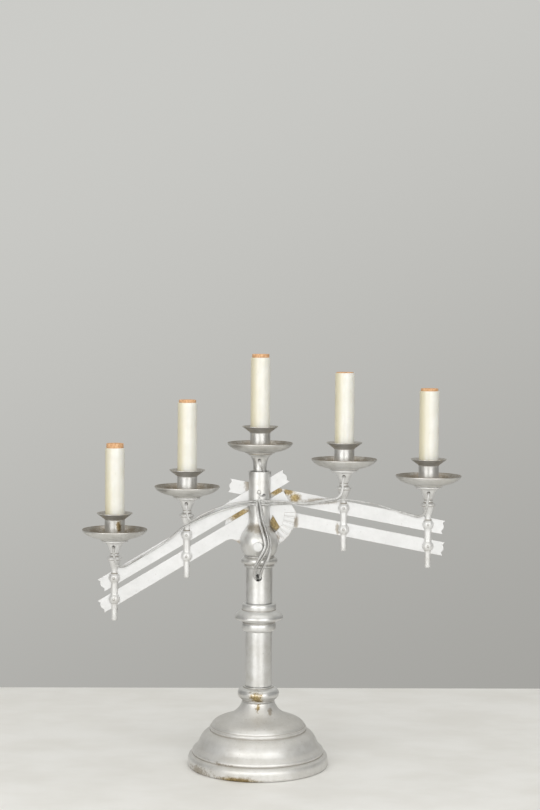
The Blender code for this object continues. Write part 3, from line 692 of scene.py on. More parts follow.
class Outline:
    """The half-section of a turned piece, as (radius, height) points in millimetres."""

    def __init__(self, *points: Pair) -> None:
        """Starts with straight sides through the points."""
        self.points: list[Pair] = list(points)

    def line(self, *points: Pair) -> Outline:
        """Carries on with straight sides."""
        self.points += points
        return self

    def sweep(self, *points: Pair, step: float = 0.7) -> Outline:
        """Carries on with one smooth curve.

        Args:
            points: The points that the curve goes through, after the last one so far.
            step: How far apart its own points are.

        Returns:
            This outline.
        """
        route = smooth_route([Vector((*p, 0.0)) for p in (self.points[-1], *points)], step)
        self.points += [(max(p.x, 0.0), p.y) for p in route[1:]]
        return self

    def ball(self, radius: float, height: float, start: float, end: float, steps: int = 14) -> Outline:
        """Carries on with an arc of a ball on the axis.

        Args:
            radius: The ball's radius.
            height: The height of its centre.
            start: The arc's first latitude, in degrees.
            end: Its last latitude.
            steps: How many sides it has.

        Returns:
            This outline.
        """
        for k in range(steps + 1):
            angle = math.radians(start + (end - start) * k / steps)
            self.points.append((radius * math.cos(angle), height + radius * math.sin(angle)))
        return self

    def mesh(self) -> bpy.types.Mesh:
        """Makes a line of points in the XZ plane, in metres, in the order that turns its faces outwards.

        Returns:
            The line as a mesh.
        """
        points = self.points
        if points[0][0] > 0 or points[-1][0] > 0:
            points = [*points, points[0]]
        area = sum(p[0] * q[1] - q[0] * p[1] for p, q in zip(points, points[1:] + points[:1]))
        ordered = points if area > 0 else points[::-1]
        mesh = bpy.data.meshes.new("outline")
        mesh.from_pydata([(r * MM, 0.0, z * MM) for r, z in ordered],
                [(k, k + 1) for k in range(len(ordered) - 1)], [])
        return mesh


def evaluated_mesh(obj: bpy.types.Object) -> bpy.types.Mesh:
    """Gives an object's mesh with its modifiers applied, and removes the object.

    Args:
        obj: The object.

    Returns:
        A plain mesh.
    """
    bpy.context.view_layer.update()
    graph = bpy.context.evaluated_depsgraph_get()
    mesh = bpy.data.meshes.new_from_object(obj.evaluated_get(graph))
    bpy.data.objects.remove(obj, do_unlink=True)
    return mesh


def linked(name: str, data: bpy.types.ID | None) -> bpy.types.Object:
    """Puts a new object in the scene.

    Args:
        name: Its name.
        data: What it shows.

    Returns:
        The object.
    """
    obj = bpy.data.objects.new(name, data)
    bpy.context.scene.collection.objects.link(obj)
    return obj


class Recipe:
    """A Geometry Nodes tree with named inputs, run on a mesh."""

    def __init__(self, name: str, inputs: dict[str, str]) -> None:
        """Starts the tree.

        Args:
            name: The tree's name.
            inputs: The socket type of each size, by its name.
        """
        self.tree = bpy.data.node_groups.new(name, "GeometryNodeTree")
        self.graph = Graph(self.tree)
        self.sockets = {}
        kinds = {"Geometry": "NodeSocketGeometry", **inputs, "Material": "NodeSocketMaterial"}
        for word, kind in kinds.items():
            self.sockets[word] = self.tree.interface.new_socket(word, in_out="INPUT", socket_type=kind)
        self.tree.interface.new_socket("Geometry", in_out="OUTPUT", socket_type="NodeSocketGeometry")
        self.given = self.graph.node("NodeGroupInput")

    def size(self, name: str) -> Value:
        """Gives one of the tree's inputs."""
        return Value(self.graph, self.given.outputs[name])

    def close(self, geometry: Value) -> None:
        """Ends the tree with real geometry in its material.

        Args:
            geometry: What the tree made.
        """
        real = self.graph.value("GeometryNodeRealizeInstances", inputs={"Geometry": geometry})
        dressed = self.graph.value("GeometryNodeSetMaterial",
                inputs={"Geometry": real, "Material": self.size("Material")})
        self.graph.node("NodeGroupOutput", inputs={0: dressed})

    def run(self, mesh: bpy.types.Mesh, finish: Finish, **sizes: Any) -> bpy.types.Mesh:
        """Runs the tree.

        Args:
            mesh: The mesh that goes in.
            finish: What the result is dressed in.
            **sizes: The tree's inputs, by name with _ for a space.

        Returns:
            A plain mesh.
        """
        obj = linked("made", mesh)
        modifier = obj.modifiers.new("recipe", "NODES")
        modifier.node_group = self.tree
        modifier[self.sockets["Material"].identifier] = finish.material()
        for word, value in sizes.items():
            modifier[self.sockets[word.replace("_", " ").capitalize()].identifier] = value
        return evaluated_mesh(obj)


class TurnedRecipe(Recipe):
    """Spins a line of points round Z, with a screw thread where the line is inside a radius."""

    def __init__(self) -> None:
        """Builds the tree."""
        super().__init__("turned_piece", {
            "Sides": "NodeSocketInt", "Thread inside": "NodeSocketFloat",
            "Thread depth": "NodeSocketFloat", "Thread pitch": "NodeSocketFloat"})
        graph = self.graph
        count = graph.value("GeometryNodeAttributeDomainSize", inputs={"Geometry": self.size("Geometry")},
                            output="Point Count")
        grid = graph.value("GeometryNodeMeshGrid", inputs={
            "Size X": 1.0, "Size Y": 1.0, "Vertices X": self.size("Sides") + 1, "Vertices Y": count})
        index = graph.value("GeometryNodeInputIndex")
        position = graph.value("GeometryNodeInputPosition")
        sample = graph.value("GeometryNodeSampleIndex", {"data_type": "FLOAT_VECTOR"}, {
            "Geometry": self.size("Geometry"), "Value": position, "Index": index % count})
        parts = graph.node("ShaderNodeSeparateXYZ", inputs={0: sample})
        radius, height = Value(graph, parts.outputs["X"]), Value(graph, parts.outputs["Z"])
        angle = (index / count).floor() * math.tau / self.size("Sides")
        inside = radius < self.size("Thread inside")
        wave = (height / self.size("Thread pitch") * math.tau - angle).cos()
        spun = radius + wave * self.size("Thread depth") * inside
        place = graph.value("ShaderNodeCombineXYZ", inputs={
            0: spun * angle.cos(), 1: spun * angle.sin(), 2: height})
        moved = graph.value("GeometryNodeSetPosition", inputs={"Geometry": grid, "Position": place})
        self.close(graph.value("GeometryNodeMergeByDistance", inputs={"Geometry": moved, "Distance": 1e-6}))


class ToothRecipe(Recipe):
    """Repeats one tooth round Y."""

    def __init__(self) -> None:
        """Builds the tree."""
        super().__init__("sector_teeth", {"Count": "NodeSocketInt", "First": "NodeSocketFloat",
                                          "Pitch": "NodeSocketFloat"})
        graph = self.graph
        points = graph.value("GeometryNodeMeshLine",
                inputs={"Count": self.size("Count"), "Offset": (0.0, 0.0, 0.0)})
        turn = graph.value("GeometryNodeInputIndex") * self.size("Pitch") + self.size("First")
        turned = graph.value("ShaderNodeCombineXYZ", inputs={1: 0.0 - turn})
        self.close(graph.value("GeometryNodeInstanceOnPoints", inputs={
            "Points": points, "Instance": self.size("Geometry"), "Rotation": turned}))


class FlexRecipe(Recipe):
    """Draws a two-core flex along a line of points, turning slowly as it goes."""

    SIDES = 16

    def __init__(self) -> None:
        """Builds the tree."""
        super().__init__("two_core_flex", {"Radius": "NodeSocketFloat", "Waist": "NodeSocketFloat",
                                           "Phase": "NodeSocketFloat", "Twist": "NodeSocketFloat"})
        graph = self.graph
        curve = graph.value("GeometryNodeMeshToCurve", inputs={0: self.size("Geometry")})
        index = graph.value("GeometryNodeInputIndex")
        tilt = index * self.size("Twist") + self.size("Phase")
        turned = graph.value("GeometryNodeSetCurveTilt", inputs={"Curve": curve, "Tilt": tilt})
        ring = graph.value("GeometryNodeCurvePrimitiveCircle", inputs={
            "Resolution": self.SIDES, "Radius": self.size("Radius")})
        angle = index * (math.tau / self.SIDES)
        waist = 1 - self.size("Waist") * (angle.sin() * angle.sin())
        position = graph.value("GeometryNodeInputPosition")
        pinched = graph.value("ShaderNodeVectorMath", {"operation": "SCALE"}, {0: position, "Scale": waist})
        outline = graph.value("GeometryNodeSetPosition", inputs={"Geometry": ring, "Position": pinched})
        self.close(graph.value("GeometryNodeCurveToMesh", inputs={
            "Curve": turned, "Profile Curve": outline, "Fill Caps": True}))


class CoilRecipe(Recipe):
    """Winds a spring round Z."""

    def __init__(self) -> None:
        """Builds the tree."""
        super().__init__("coil_spring", {"Turns": "NodeSocketFloat", "Radius": "NodeSocketFloat",
                                         "Height": "NodeSocketFloat", "Wire": "NodeSocketFloat"})
        graph = self.graph
        coil = graph.value("GeometryNodeCurveSpiral", inputs={
            "Resolution": 28, "Rotations": self.size("Turns"), "Start Radius": self.size("Radius"),
            "End Radius": self.size("Radius"), "Height": self.size("Height")})
        wire = graph.value("GeometryNodeCurvePrimitiveCircle",
                inputs={"Resolution": 8, "Radius": self.size("Wire")})
        self.close(graph.value("GeometryNodeCurveToMesh", inputs={
            "Curve": coil, "Profile Curve": wire, "Fill Caps": True}))


TURNED, TEETH, FLEX_TUBE, COIL = TurnedRecipe(), ToothRecipe(), FlexRecipe(), CoilRecipe()


def turned(outline: Outline, finish: Finish, sides: int = 64, **thread: float) -> bpy.types.Mesh:
    """Turns a piece from its half-section.

    Args:
        outline: The half-section.
        finish: What it is dressed in.
        sides: How many sides it has all round.
        **thread: The sizes of a screw thread inside it, in metres.

    Returns:
        The piece's mesh, round Z.
    """
    sizes = {"thread_inside": 0.0, "thread_depth": 0.0, "thread_pitch": 1.0, **thread}
    return TURNED.run(outline.mesh(), finish, sides=sides, **sizes)


def meshed(bm: bmesh.types.BMesh, name: str) -> bpy.types.Mesh:
    """Turns a BMesh into a mesh and frees it."""
    mesh = bpy.data.meshes.new(name)
    bm.to_mesh(mesh)
    bm.free()
    return mesh


def joined(meshes: Sequence[bpy.types.Mesh], name: str) -> bpy.types.Mesh:
    """Joins meshes that don't touch into one mesh."""
    bm = bmesh.new()
    for mesh in meshes:
        bm.from_mesh(mesh)
    return meshed(bm, name)


def bridged(ends: Sequence[Sequence[Place]]) -> bmesh.types.BMesh:
    """Closes the space between two outlines.

    Args:
        ends: The two outlines, with the same number of points.

    Returns:
        The closed solid, with its faces outwards.
    """
    bm = bmesh.new()
    rings = [[bm.verts.new(point) for point in end] for end in ends]
    for ring in rings:
        bm.faces.new(ring)
    for k in range(len(rings[0])):
        n = (k + 1) % len(rings[0])
        bm.faces.new((rings[0][k], rings[0][n], rings[1][n], rings[1][k]))
    bmesh.ops.recalc_face_normals(bm, faces=bm.faces)
    return bm


def extruded(outline: Sequence[Pair], front: float, back: float) -> bpy.types.Mesh:
    """Makes a flat plate.

    Args:
        outline: Its (x, z) points, in millimetres.
        front: The lower y of its faces, in millimetres.
        back: The higher y.

    Returns:
        The mesh, in metres.
    """
    sides = [[(x * MM, y * MM, z * MM) for x, z in outline] for y in (front, back)]
    return meshed(bridged(sides), "plate")


def block(low: Place, high: Place) -> bpy.types.Mesh:
    """Makes a cutter's block between two corners, in millimetres."""
    corners = [(low[0], low[2]), (high[0], low[2]), (high[0], high[2]), (low[0], high[2])]
    return extruded(corners, low[1], high[1])


def rod(radius: float, start: Place, end: Place, sides: int = 40) -> bpy.types.Mesh:
    """Makes a cutter's rod.

    Args:
        radius: Its radius, in millimetres.
        start: The middle of one end.
        end: The middle of the other.
        sides: How many sides it has.

    Returns:
        The mesh, in metres.
    """
    a, b = Vector(start) * MM, Vector(end) * MM
    bm = bmesh.new()
    bmesh.ops.create_cone(bm, cap_ends=True, segments=sides, radius1=radius * MM, radius2=radius * MM,
                          depth=(b - a).length)
    turn = (b - a).to_track_quat("Z", "Y").to_matrix().to_4x4()
    bmesh.ops.transform(bm, matrix=Matrix.Translation((a + b) / 2) @ turn, verts=bm.verts)
    return meshed(bm, "rod")


def carved(mesh: bpy.types.Mesh, cutters: Sequence[bpy.types.Mesh]) -> bpy.types.Mesh:
    """Cuts shapes out of a mesh.

    Args:
        mesh: The mesh.
        cutters: What is cut away.

    Returns:
        The mesh that is left.
    """
    obj = linked("carved", mesh)
    helpers = [linked("cutter", cutter) for cutter in cutters]
    for helper in helpers:
        modifier = obj.modifiers.new("cut", "BOOLEAN")
        modifier.operation, modifier.solver, modifier.object = "DIFFERENCE", "EXACT", helper
    result = evaluated_mesh(obj)
    for helper in helpers:
        bpy.data.objects.remove(helper, do_unlink=True)
    return result


def softened(mesh: bpy.types.Mesh, width: float, border: float) -> bpy.types.Mesh:
    """Rounds a plate's edges and puts a narrow border inside its flat faces.

    Args:
        mesh: The plate, whose faces look along Y.
        width: The width of the rounding, in millimetres.
        border: The width of the border, in millimetres.

    Returns:
        The rounded plate.
    """
    obj = linked("softened", mesh)
    bevel = obj.modifiers.new("round", "BEVEL")
    bevel.width, bevel.segments, bevel.limit_method = width * MM, 2, "ANGLE"
    bevel.angle_limit = math.radians(35)
    bevel.use_clamp_overlap = True
    result = evaluated_mesh(obj)
    bm = bmesh.new()
    bm.from_mesh(result)
    bm.normal_update()
    for sign in (-1, 1):
        flat = [face for face in bm.faces if face.normal.y * sign > 0.999]
        bmesh.ops.inset_region(bm, faces=flat, thickness=border * MM, use_even_offset=True)
    bm.to_mesh(result)
    bm.free()
    return result


def store(mesh: bpy.types.Mesh, name: str, values: np.ndarray) -> None:
    """Stores a number at each point of a mesh.

    Args:
        mesh: The mesh.
        name: The attribute's name.
        values: One number a point.
    """
    layer = mesh.attributes.get(name) or mesh.attributes.new(name, "FLOAT", "POINT")
    layer.data.foreach_set("value", values.astype(np.float32))


def read(items: Any, name: str, width: int, kind: type = np.float64) -> np.ndarray:
    """Reads one property of a mesh's parts as an array.

    Args:
        items: The mesh's points, edges, loops or faces.
        name: The property.
        width: How many numbers it has.
        kind: Their type.

    Returns:
        One row for each part.
    """
    values = np.empty(len(items) * width, kind)
    items.foreach_get(name, values)
    return values.reshape(-1, width) if width > 1 else values


def mark_bends(mesh: bpy.types.Mesh) -> None:
    """Stores how sharply the surface bends at each point: above 0 on crests and below 0 in hollows.

    A value of 1 is a bend as tight as a rounded edge of half a millimetre.

    Args:
        mesh: The mesh.
    """
    points = read(mesh.vertices, "co", 3)
    normals, centres = read(mesh.polygons, "normal", 3), read(mesh.polygons, "center", 3)
    areas, sizes = read(mesh.polygons, "area", 1), read(mesh.polygons, "loop_total", 1, np.int32)
    edges = read(mesh.edges, "vertices", 2, np.int32)
    loop_edge, loop_point = (read(mesh.loops, name, 1, np.int32) for name in ("edge_index", "vertex_index"))
    loop_face = np.repeat(np.arange(len(sizes)), sizes)
    order = np.argsort(loop_edge, kind="stable")
    pairs = order[:-1][loop_edge[order][:-1] == loop_edge[order][1:]]
    mates = order[1:][loop_edge[order][:-1] == loop_edge[order][1:]]
    edge, one, two = loop_edge[pairs], loop_face[pairs], loop_face[mates]
    bend = np.arccos(np.clip((normals[one] * normals[two]).sum(1), -1, 1))
    outward = -np.sign((normals[one] * (centres[two] - centres[one])).sum(1))
    length = np.linalg.norm(points[edges[edge, 0]] - points[edges[edge, 1]], axis=1)
    total, around = np.zeros(len(points)), np.zeros(len(points))
    for column in (0, 1):
        np.add.at(total, edges[edge, column], bend * outward * length)
    np.add.at(around, loop_point, (areas / sizes)[loop_face])
    store(mesh, "crest", np.clip(total / np.maximum(4 * around, 1e-10) * MM, -2, 2))


def placed(mesh: bpy.types.Mesh, place: Vector, turn: Euler | None = None) -> bpy.types.Mesh:
    """Moves a mesh to its place.

    Args:
        mesh: The mesh, round its own origin.
        place: Where its origin goes, in metres.
        turn: How it is turned first.

    Returns:
        The same mesh.
    """
    rotation = turn.to_matrix().to_4x4() if turn else Matrix.Identity(4)
    mesh.transform(Matrix.Translation(place) @ rotation)
    return mesh


def add_piece(name: str, mesh: bpy.types.Mesh, finish: Finish, body: str | None,
              stands_for: Sequence[str] = (), sharp: float = 40.0) -> bpy.types.Object:
    """Puts a finished piece in the scene.

    Args:
        name: The piece's name.
        mesh: Its mesh, in place.
        finish: What it is dressed in.
        body: The moving body that it rides on, or None where it is left without one.
        stands_for: The CAD nodes that it replaces.
        sharp: The bend, in degrees, past which an edge is drawn sharp.

    Returns:
        The piece.
    """
    mesh.name = name
    mesh.materials.clear()
    mesh.materials.append(finish.material())
    mesh.polygons.foreach_set("material_index", np.zeros(len(mesh.polygons), np.int32))
    mesh.shade_smooth()
    mesh.set_sharp_from_angle(angle=math.radians(sharp))
    mark_bends(mesh)
    store(mesh, "up", np.clip(read(mesh.vertices, "normal", 3)[:, 2] * 1.6 - 0.3, 0, 1))
    piece = linked(name, mesh)
    if body:
        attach(piece, body)
    if stands_for:
        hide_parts(*stands_for)
    LOG.info("%s: %d faces on %s", name, len(mesh.polygons), body or "two bodies")
    return piece


def foot_of(node: str) -> Vector:
    """Gives the middle of a CAD node's lowest face, for a piece turned round an upright axis."""
    low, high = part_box(node)
    return Vector(((low.x + high.x) / 2, (low.y + high.y) / 2, low.z))


def pivot_of(joint: str) -> Vector:
    """Gives the place of a hinge."""
    return Vector(next(j["pos_m"] for j in frame["joints"] if j["name"] == joint))


# ---------------------------------------------------------------- studio

@dataclass
class Studio:
    """Camera, floor and light."""

    eye: Place = (0.132, -2.055, 0.554)
    aim: Place = (0.012, 0.0, 0.454)
    lens: float = 73.3
    roll: float = 0.45
    floor_size: float = 2.4
    floor_edge: float = 0.03
    floor_back: float = 0.436
    floor_turn: float = 4.7
    wall_light: Colour = (0.60, 0.60, 0.575)
    wall_dark: Colour = (0.36, 0.355, 0.335)
    wings: Colour = (0.21, 0.21, 0.205)
    softbox_turn: float = 27.0
    softbox_power: float = 16.5
    softbox_away: float = 2.1
    overhead_power: float = 14.0

    def set_camera(self) -> None:
        """Makes the camera and sets it."""
        data = bpy.data.cameras.new("camera")
        data.lens, data.sensor_width, data.sensor_fit = self.lens, 36.0, "AUTO"
        camera = linked("camera", data)
        camera.location = self.eye
        look = (Vector(self.aim) - Vector(self.eye)).to_track_quat("-Z", "Y")
        camera.rotation_euler = (look @ Euler((0, 0, math.radians(self.roll))).to_quaternion()).to_euler()
        bpy.context.scene.camera = camera

    def add_floor(self) -> None:
        """Adds the pale table top."""
        size, back, down = self.floor_size, self.floor_back, -self.floor_edge
        mesh = bpy.data.meshes.new("table_top")
        mesh.from_pydata([(-size, back, 0), (-size, -size, 0), (size, -size, 0), (size, back, 0),
                          (-size, back, down), (size, back, down)], [], [(0, 1, 2, 3), (0, 3, 5, 4)])
        material = bpy.data.materials.new("pale_stone")
        graph = graph_of(material)
        vein = graph.noise(9.0, 5.0, stretch=(1.0, 1.5, 1.0), roughness=0.55)
        colour = graph.mix((0.78, 0.765, 0.73), (0.845, 0.835, 0.81), vein.rise(0.3, 0.7))
        surface = graph.value("ShaderNodeBsdfPrincipled", inputs={
            "Base Color": colour, "Roughness": 0.45, "Specular IOR Level": 0.3})
        graph.node("ShaderNodeOutputMaterial", inputs={"Surface": surface})
        mesh.materials.append(material)
        mesh.transform(Matrix.Rotation(math.radians(self.floor_turn), 4, "Z"))
        linked("table_top", mesh)

    def add_light(self, name: str, place: Place, target: Place, size: Pair, power: float,
            colour: Colour) -> None:
        """Adds a soft rectangular light.

        Args:
            name: The light's name.
            place: Where it stands.
            target: What it points at.
            size: Its width and height, in metres.
            power: Its power, in watts.
            colour: Its colour.
        """
        data = bpy.data.lights.new(name, "AREA")
        data.shape, data.size, data.size_y = "RECTANGLE", *size
        data.energy, data.color = power, colour
        light = linked(name, data)
        light.location = place
        light.rotation_euler = (Vector(target) - Vector(place)).to_track_quat("-Z", "Y").to_euler()

    def light(self) -> None:
        """Sets the wall's tone and adds the lights."""
        scene = bpy.context.scene
        scene.view_settings.view_transform = "Standard"
        world = bpy.data.worlds.new("studio")
        graph = graph_of(world)
        way = graph.node("ShaderNodeSeparateXYZ",
                inputs={0: graph.value("ShaderNodeTexCoord", output="Generated")})
        across, up = Value(graph, way.outputs["X"]), Value(graph, way.outputs["Z"])
        shade = graph.mix(self.wall_dark, self.wall_light, (up * 1.6 - across * 0.7 + 0.58).rise(0.0, 1.0))
        shade = graph.mix(shade, self.wings, (across * across).rise(0.3, 0.75))
        background = graph.value("ShaderNodeBackground", inputs={"Color": shade})
        graph.node("ShaderNodeOutputWorld", inputs={"Surface": background})
        scene.world = world
        middle = (0.0, 0.0, 0.26)
        for word, sign in (("left", -1), ("right", 1)):
            turn = math.radians(self.softbox_turn) * sign
            place = (self.softbox_away * math.sin(turn), -self.softbox_away * math.cos(turn), 0.75)
            self.add_light(f"{word}_softbox", place, middle, (1.5, 1.4), self.softbox_power, (1.0, 1.0, 1.0))
        self.add_light("overhead", (0.0, -0.2, 2.2), middle, (2.4, 2.0), self.overhead_power,
                       (1.0, 0.99, 0.97))

    def build(self) -> None:
        """Builds the studio."""
        self.set_camera()
        self.add_floor()
        self.light()


# ---------------------------------------------------------------- leads

BUNDLE: tuple[Place, ...] = (
    (0.6, -18.6, 328.0), (2.2, -19.0, 318.0), (5.0, -20.4, 308.0), (9.0, -24.2, 297.0), (12.0, -27.0, 287.0),
    (12.6, -27.8, 279.0), (10.6, -28.6, 269.0), (6.6, -28.4, 260.0), (2.4, -26.6, 251.0), (0.2, -23.8, 242.2),
    (0.0, -19.2, 239.2), (0.0, -12.4, 238.9))

LEAD_ROUTES: dict[tuple[Side, Rank], tuple[Place, ...]] = {
    (Side.LEFT, Rank.OUTER): (
        (-182.7, -8.6, 273.8), (-182.6, -12.9, 273.8), (-182.1, -14.4, 270.4), (-181.4, -14.4, 264.5),
        (-180.2, -14.4, 257.5), (-177.4, -12.6, 250.8), (-171.5, -8.6, 248.8), (-163.0, -5.9, 252.6),
        (-150.0, -5.4, 260.4), (-134.0, -5.4, 270.4), (-118.0, -6.0, 281.0), (-106.0, -8.2, 291.0),
        (-98.0, -10.8, 298.4), (-90.0, -11.4, 303.0), (-80.0, -8.0, 308.0), (-66.0, -5.8, 314.6),
        (-48.0, -5.8, 321.6), (-30.0, -6.4, 327.0), (-19.0, -9.6, 329.6), (-11.0, -14.8, 330.8),
        (-3.4, -17.2, 330.8)),
    (Side.RIGHT, Rank.OUTER): (
        (210.5, -4.8, 346.7), (210.4, -9.1, 346.7), (210.0, -10.6, 343.2), (209.3, -10.6, 337.0),
        (208.2, -10.8, 330.2), (205.4, -8.8, 321.4), (198.0, -4.0, 317.2), (186.0, -1.6, 319.6),
        (168.0, -1.4, 324.4), (150.0, -1.4, 330.2), (132.0, -2.2, 333.6), (118.0, -6.4, 336.4),
        (105.0, -9.0, 337.4), (92.0, -6.2, 335.2), (76.0, -3.4, 332.4), (58.0, -6.6, 330.8),
        (44.0, -8.0, 331.8), (30.0, -8.6, 333.4), (20.0, -11.0, 334.2), (11.0, -15.4, 334.4),
        (3.4, -17.8, 334.6)),
    (Side.LEFT, Rank.INNER): (
        (-91.3, -8.6, 329.6), (-91.2, -12.9, 329.6), (-90.7, -14.4, 326.2), (-89.8, -14.4, 320.0),
        (-88.9, -14.8, 314.4), (-86.6, -14.6, 309.6), (-81.6, -11.8, 309.6), (-74.0, -8.6, 314.2),
        (-63.0, -6.6, 319.6), (-50.0, -6.4, 325.2), (-38.0, -7.2, 329.2), (-26.0, -9.6, 331.8),
        (-18.0, -12.2, 333.4), (-11.0, -15.8, 334.4), (-3.4, -18.2, 334.6)),
    (Side.RIGHT, Rank.INNER): (
        (105.2, -4.8, 366.0), (105.1, -9.1, 366.0), (104.7, -10.6, 362.6), (104.0, -10.6, 356.6),
        (103.4, -11.4, 350.0), (101.2, -11.6, 343.6), (96.4, -10.6, 339.4), (89.0, -8.0, 337.6),
        (76.0, -5.6, 335.0), (60.0, -5.6, 332.6), (44.0, -7.4, 331.4), (30.0, -8.0, 331.0),
        (20.0, -10.4, 330.6),
        (11.0, -15.4, 330.0), (3.4, -17.8, 330.6)),
}
CENTRE_ROUTE: tuple[Place, ...] = (
    (0.0, -7.0, 385.2), (0.0, -11.2, 385.2), (0.8, -12.7, 382.4), (2.2, -12.2, 378.4), (4.4, -10.0, 374.2),
    (5.8, -8.7, 369.4), (6.2, -8.5, 363.0), (6.2, -8.5, 352.0), (6.2, -8.7, 344.8), (6.1, -11.2, 341.5),
    (5.5, -15.2, 341.0), (2.8, -18.0, 341.6), (0.7, -18.5, 340.9), (0.4, -18.4, 338.1))


@dataclass
class Leads:
    """The five lamp leads, gathered at the hub's front and led into the upper stem.

    A strand lies round the bundle's middle by its turn. Those with a turn below half_way loop out to the
    left by loop, and the others to the right by right_loop of it.
    """

    diameter: float = 2.6
    half_width: float = 1.5
    waist: float = 0.56
    twist: float = 0.012
    phase: float = 0.0
    spread: float = 3.0
    bundle_twist: float = 50.0
    swell: float = 0.3
    swell_rate: float = 1.4
    taper: float = 1.45
    loop: float = 4.5
    loop_start: float = 0.45
    right_loop: float = 0.3
    half_way: float = 220.0
    spacing: float = 1.6

    def strand(self, turn: float) -> list[Vector]:
        """Gives one strand's way down the bundle, in millimetres.

        Args:
            turn: Where it lies round the bundle's middle, in degrees.

        Returns:
            Its points, from the top.
        """
        middle = [Vector(p) for p in BUNDLE]
        points = []
        for k, place in enumerate(middle):
            along = (middle[min(k + 1, len(middle) - 1)] - middle[max(k - 1, 0)]).normalized()
            across = (Vector((1, 0, 0)) - along.x * along).normalized()
            over = along.cross(across)
            share = k / (len(middle) - 1)
            angle = math.radians(turn + self.bundle_twist * share)
            swell = 1 + self.swell * math.sin(math.pi * min(share * self.swell_rate, 1.0))
            reach = self.spread * swell * min(1.0, self.taper - share)
            opening = math.sin(math.pi * max(0.0, (share - self.loop_start) / (1 - self.loop_start)))
            apart = self.loop * opening * (-1 if turn < self.half_way else self.right_loop)
            round_it = math.cos(angle) * across + math.sin(angle) * over
            points.append(place + reach * round_it + apart * across)
        return points

    def tube(self, name: str, points: Sequence[Vector],
             node: Sequence[str]) -> tuple[bpy.types.Object, list[Vector]]:
        """Draws a lead.

        Args:
            name: The piece's name.
            points: The way it takes, evenly spaced, in metres.
            node: The CAD nodes that it stands for.

        Returns:
            The piece and the way.
        """
        line = bpy.data.meshes.new("way")
        line.from_pydata([tuple(p) for p in points], [(k, k + 1) for k in range(len(points) - 1)], [])
        mesh = FLEX_TUBE.run(line, FLEX, radius=self.half_width * MM, waist=self.waist,
                             phase=self.phase, twist=self.twist)
        return add_piece(name, mesh, FLEX, None, node, sharp=70.0), list(points)

    def declare(self, piece: bpy.types.Object, way: Sequence[Vector]) -> None:
        """Logs a piece's length along its way.

        Args:
            piece: The piece.
            way: The way that it takes.
        """
        length = sum((q - p).length for p, q in zip(way, way[1:]))
        LOG.info("%s: a lead %.0f mm long", piece.name, length / MM)

    def add_arm_lead(self, side: Side, rank: Rank, turn: float) -> None:
        """Adds a lead in two lengths, which meet where the upper bar carries it.

        Args:
            side: The arm's side.
            rank: The fitting that it comes from.
            turn: Where it lies round the bundle, in degrees.
        """
        word = f"{side.name.lower()}_{rank.value}"
        route = [Vector(p) for p in LEAD_ROUTES[side, rank]]
        way = [p * MM for p in smooth_route(route + self.strand(turn), self.spacing)]
        pivot = pivot_of(f"{word}_swing")
        sign = side.value
        meet = next(k for k, p in enumerate(way) if sign * p.x < sign * pivot.x - 0.035 and p.y > -0.012)

        piece, first = self.tube(f"{word}_lead_drop", way[:meet + 1], [f"{word}_lead"])
        self.declare(piece, first)
        pivot.x - sign * 0.003
        pivot.x - sign * 0.026
        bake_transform(piece)
        piece, second = self.tube(f"{word}_lead_hub", way[meet:], ["front_leads"])
        self.declare(piece, second)
        sign * 0.042
        sign * 0.0145
        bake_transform(piece)

    def build(self) -> None:
        """Adds all the leads."""
        turns = {(Side.LEFT, Rank.OUTER): 200.0, (Side.LEFT, Rank.INNER): 140.0,
                 (Side.RIGHT, Rank.OUTER): 270.0, (Side.RIGHT, Rank.INNER): 340.0}
        for (side, rank), turn in turns.items():
            self.add_arm_lead(side, rank, turn)
        route = [Vector(p) for p in CENTRE_ROUTE] + self.strand(55.0)
        piece, way = self.tube("centre_lead_drop", [p * MM for p in smooth_route(route, self.spacing)],
                               ["centre_lead", "front_leads"])
        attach(piece, "column")
        self.declare(piece, way)


# ---------------------------------------------------------------- foot and column

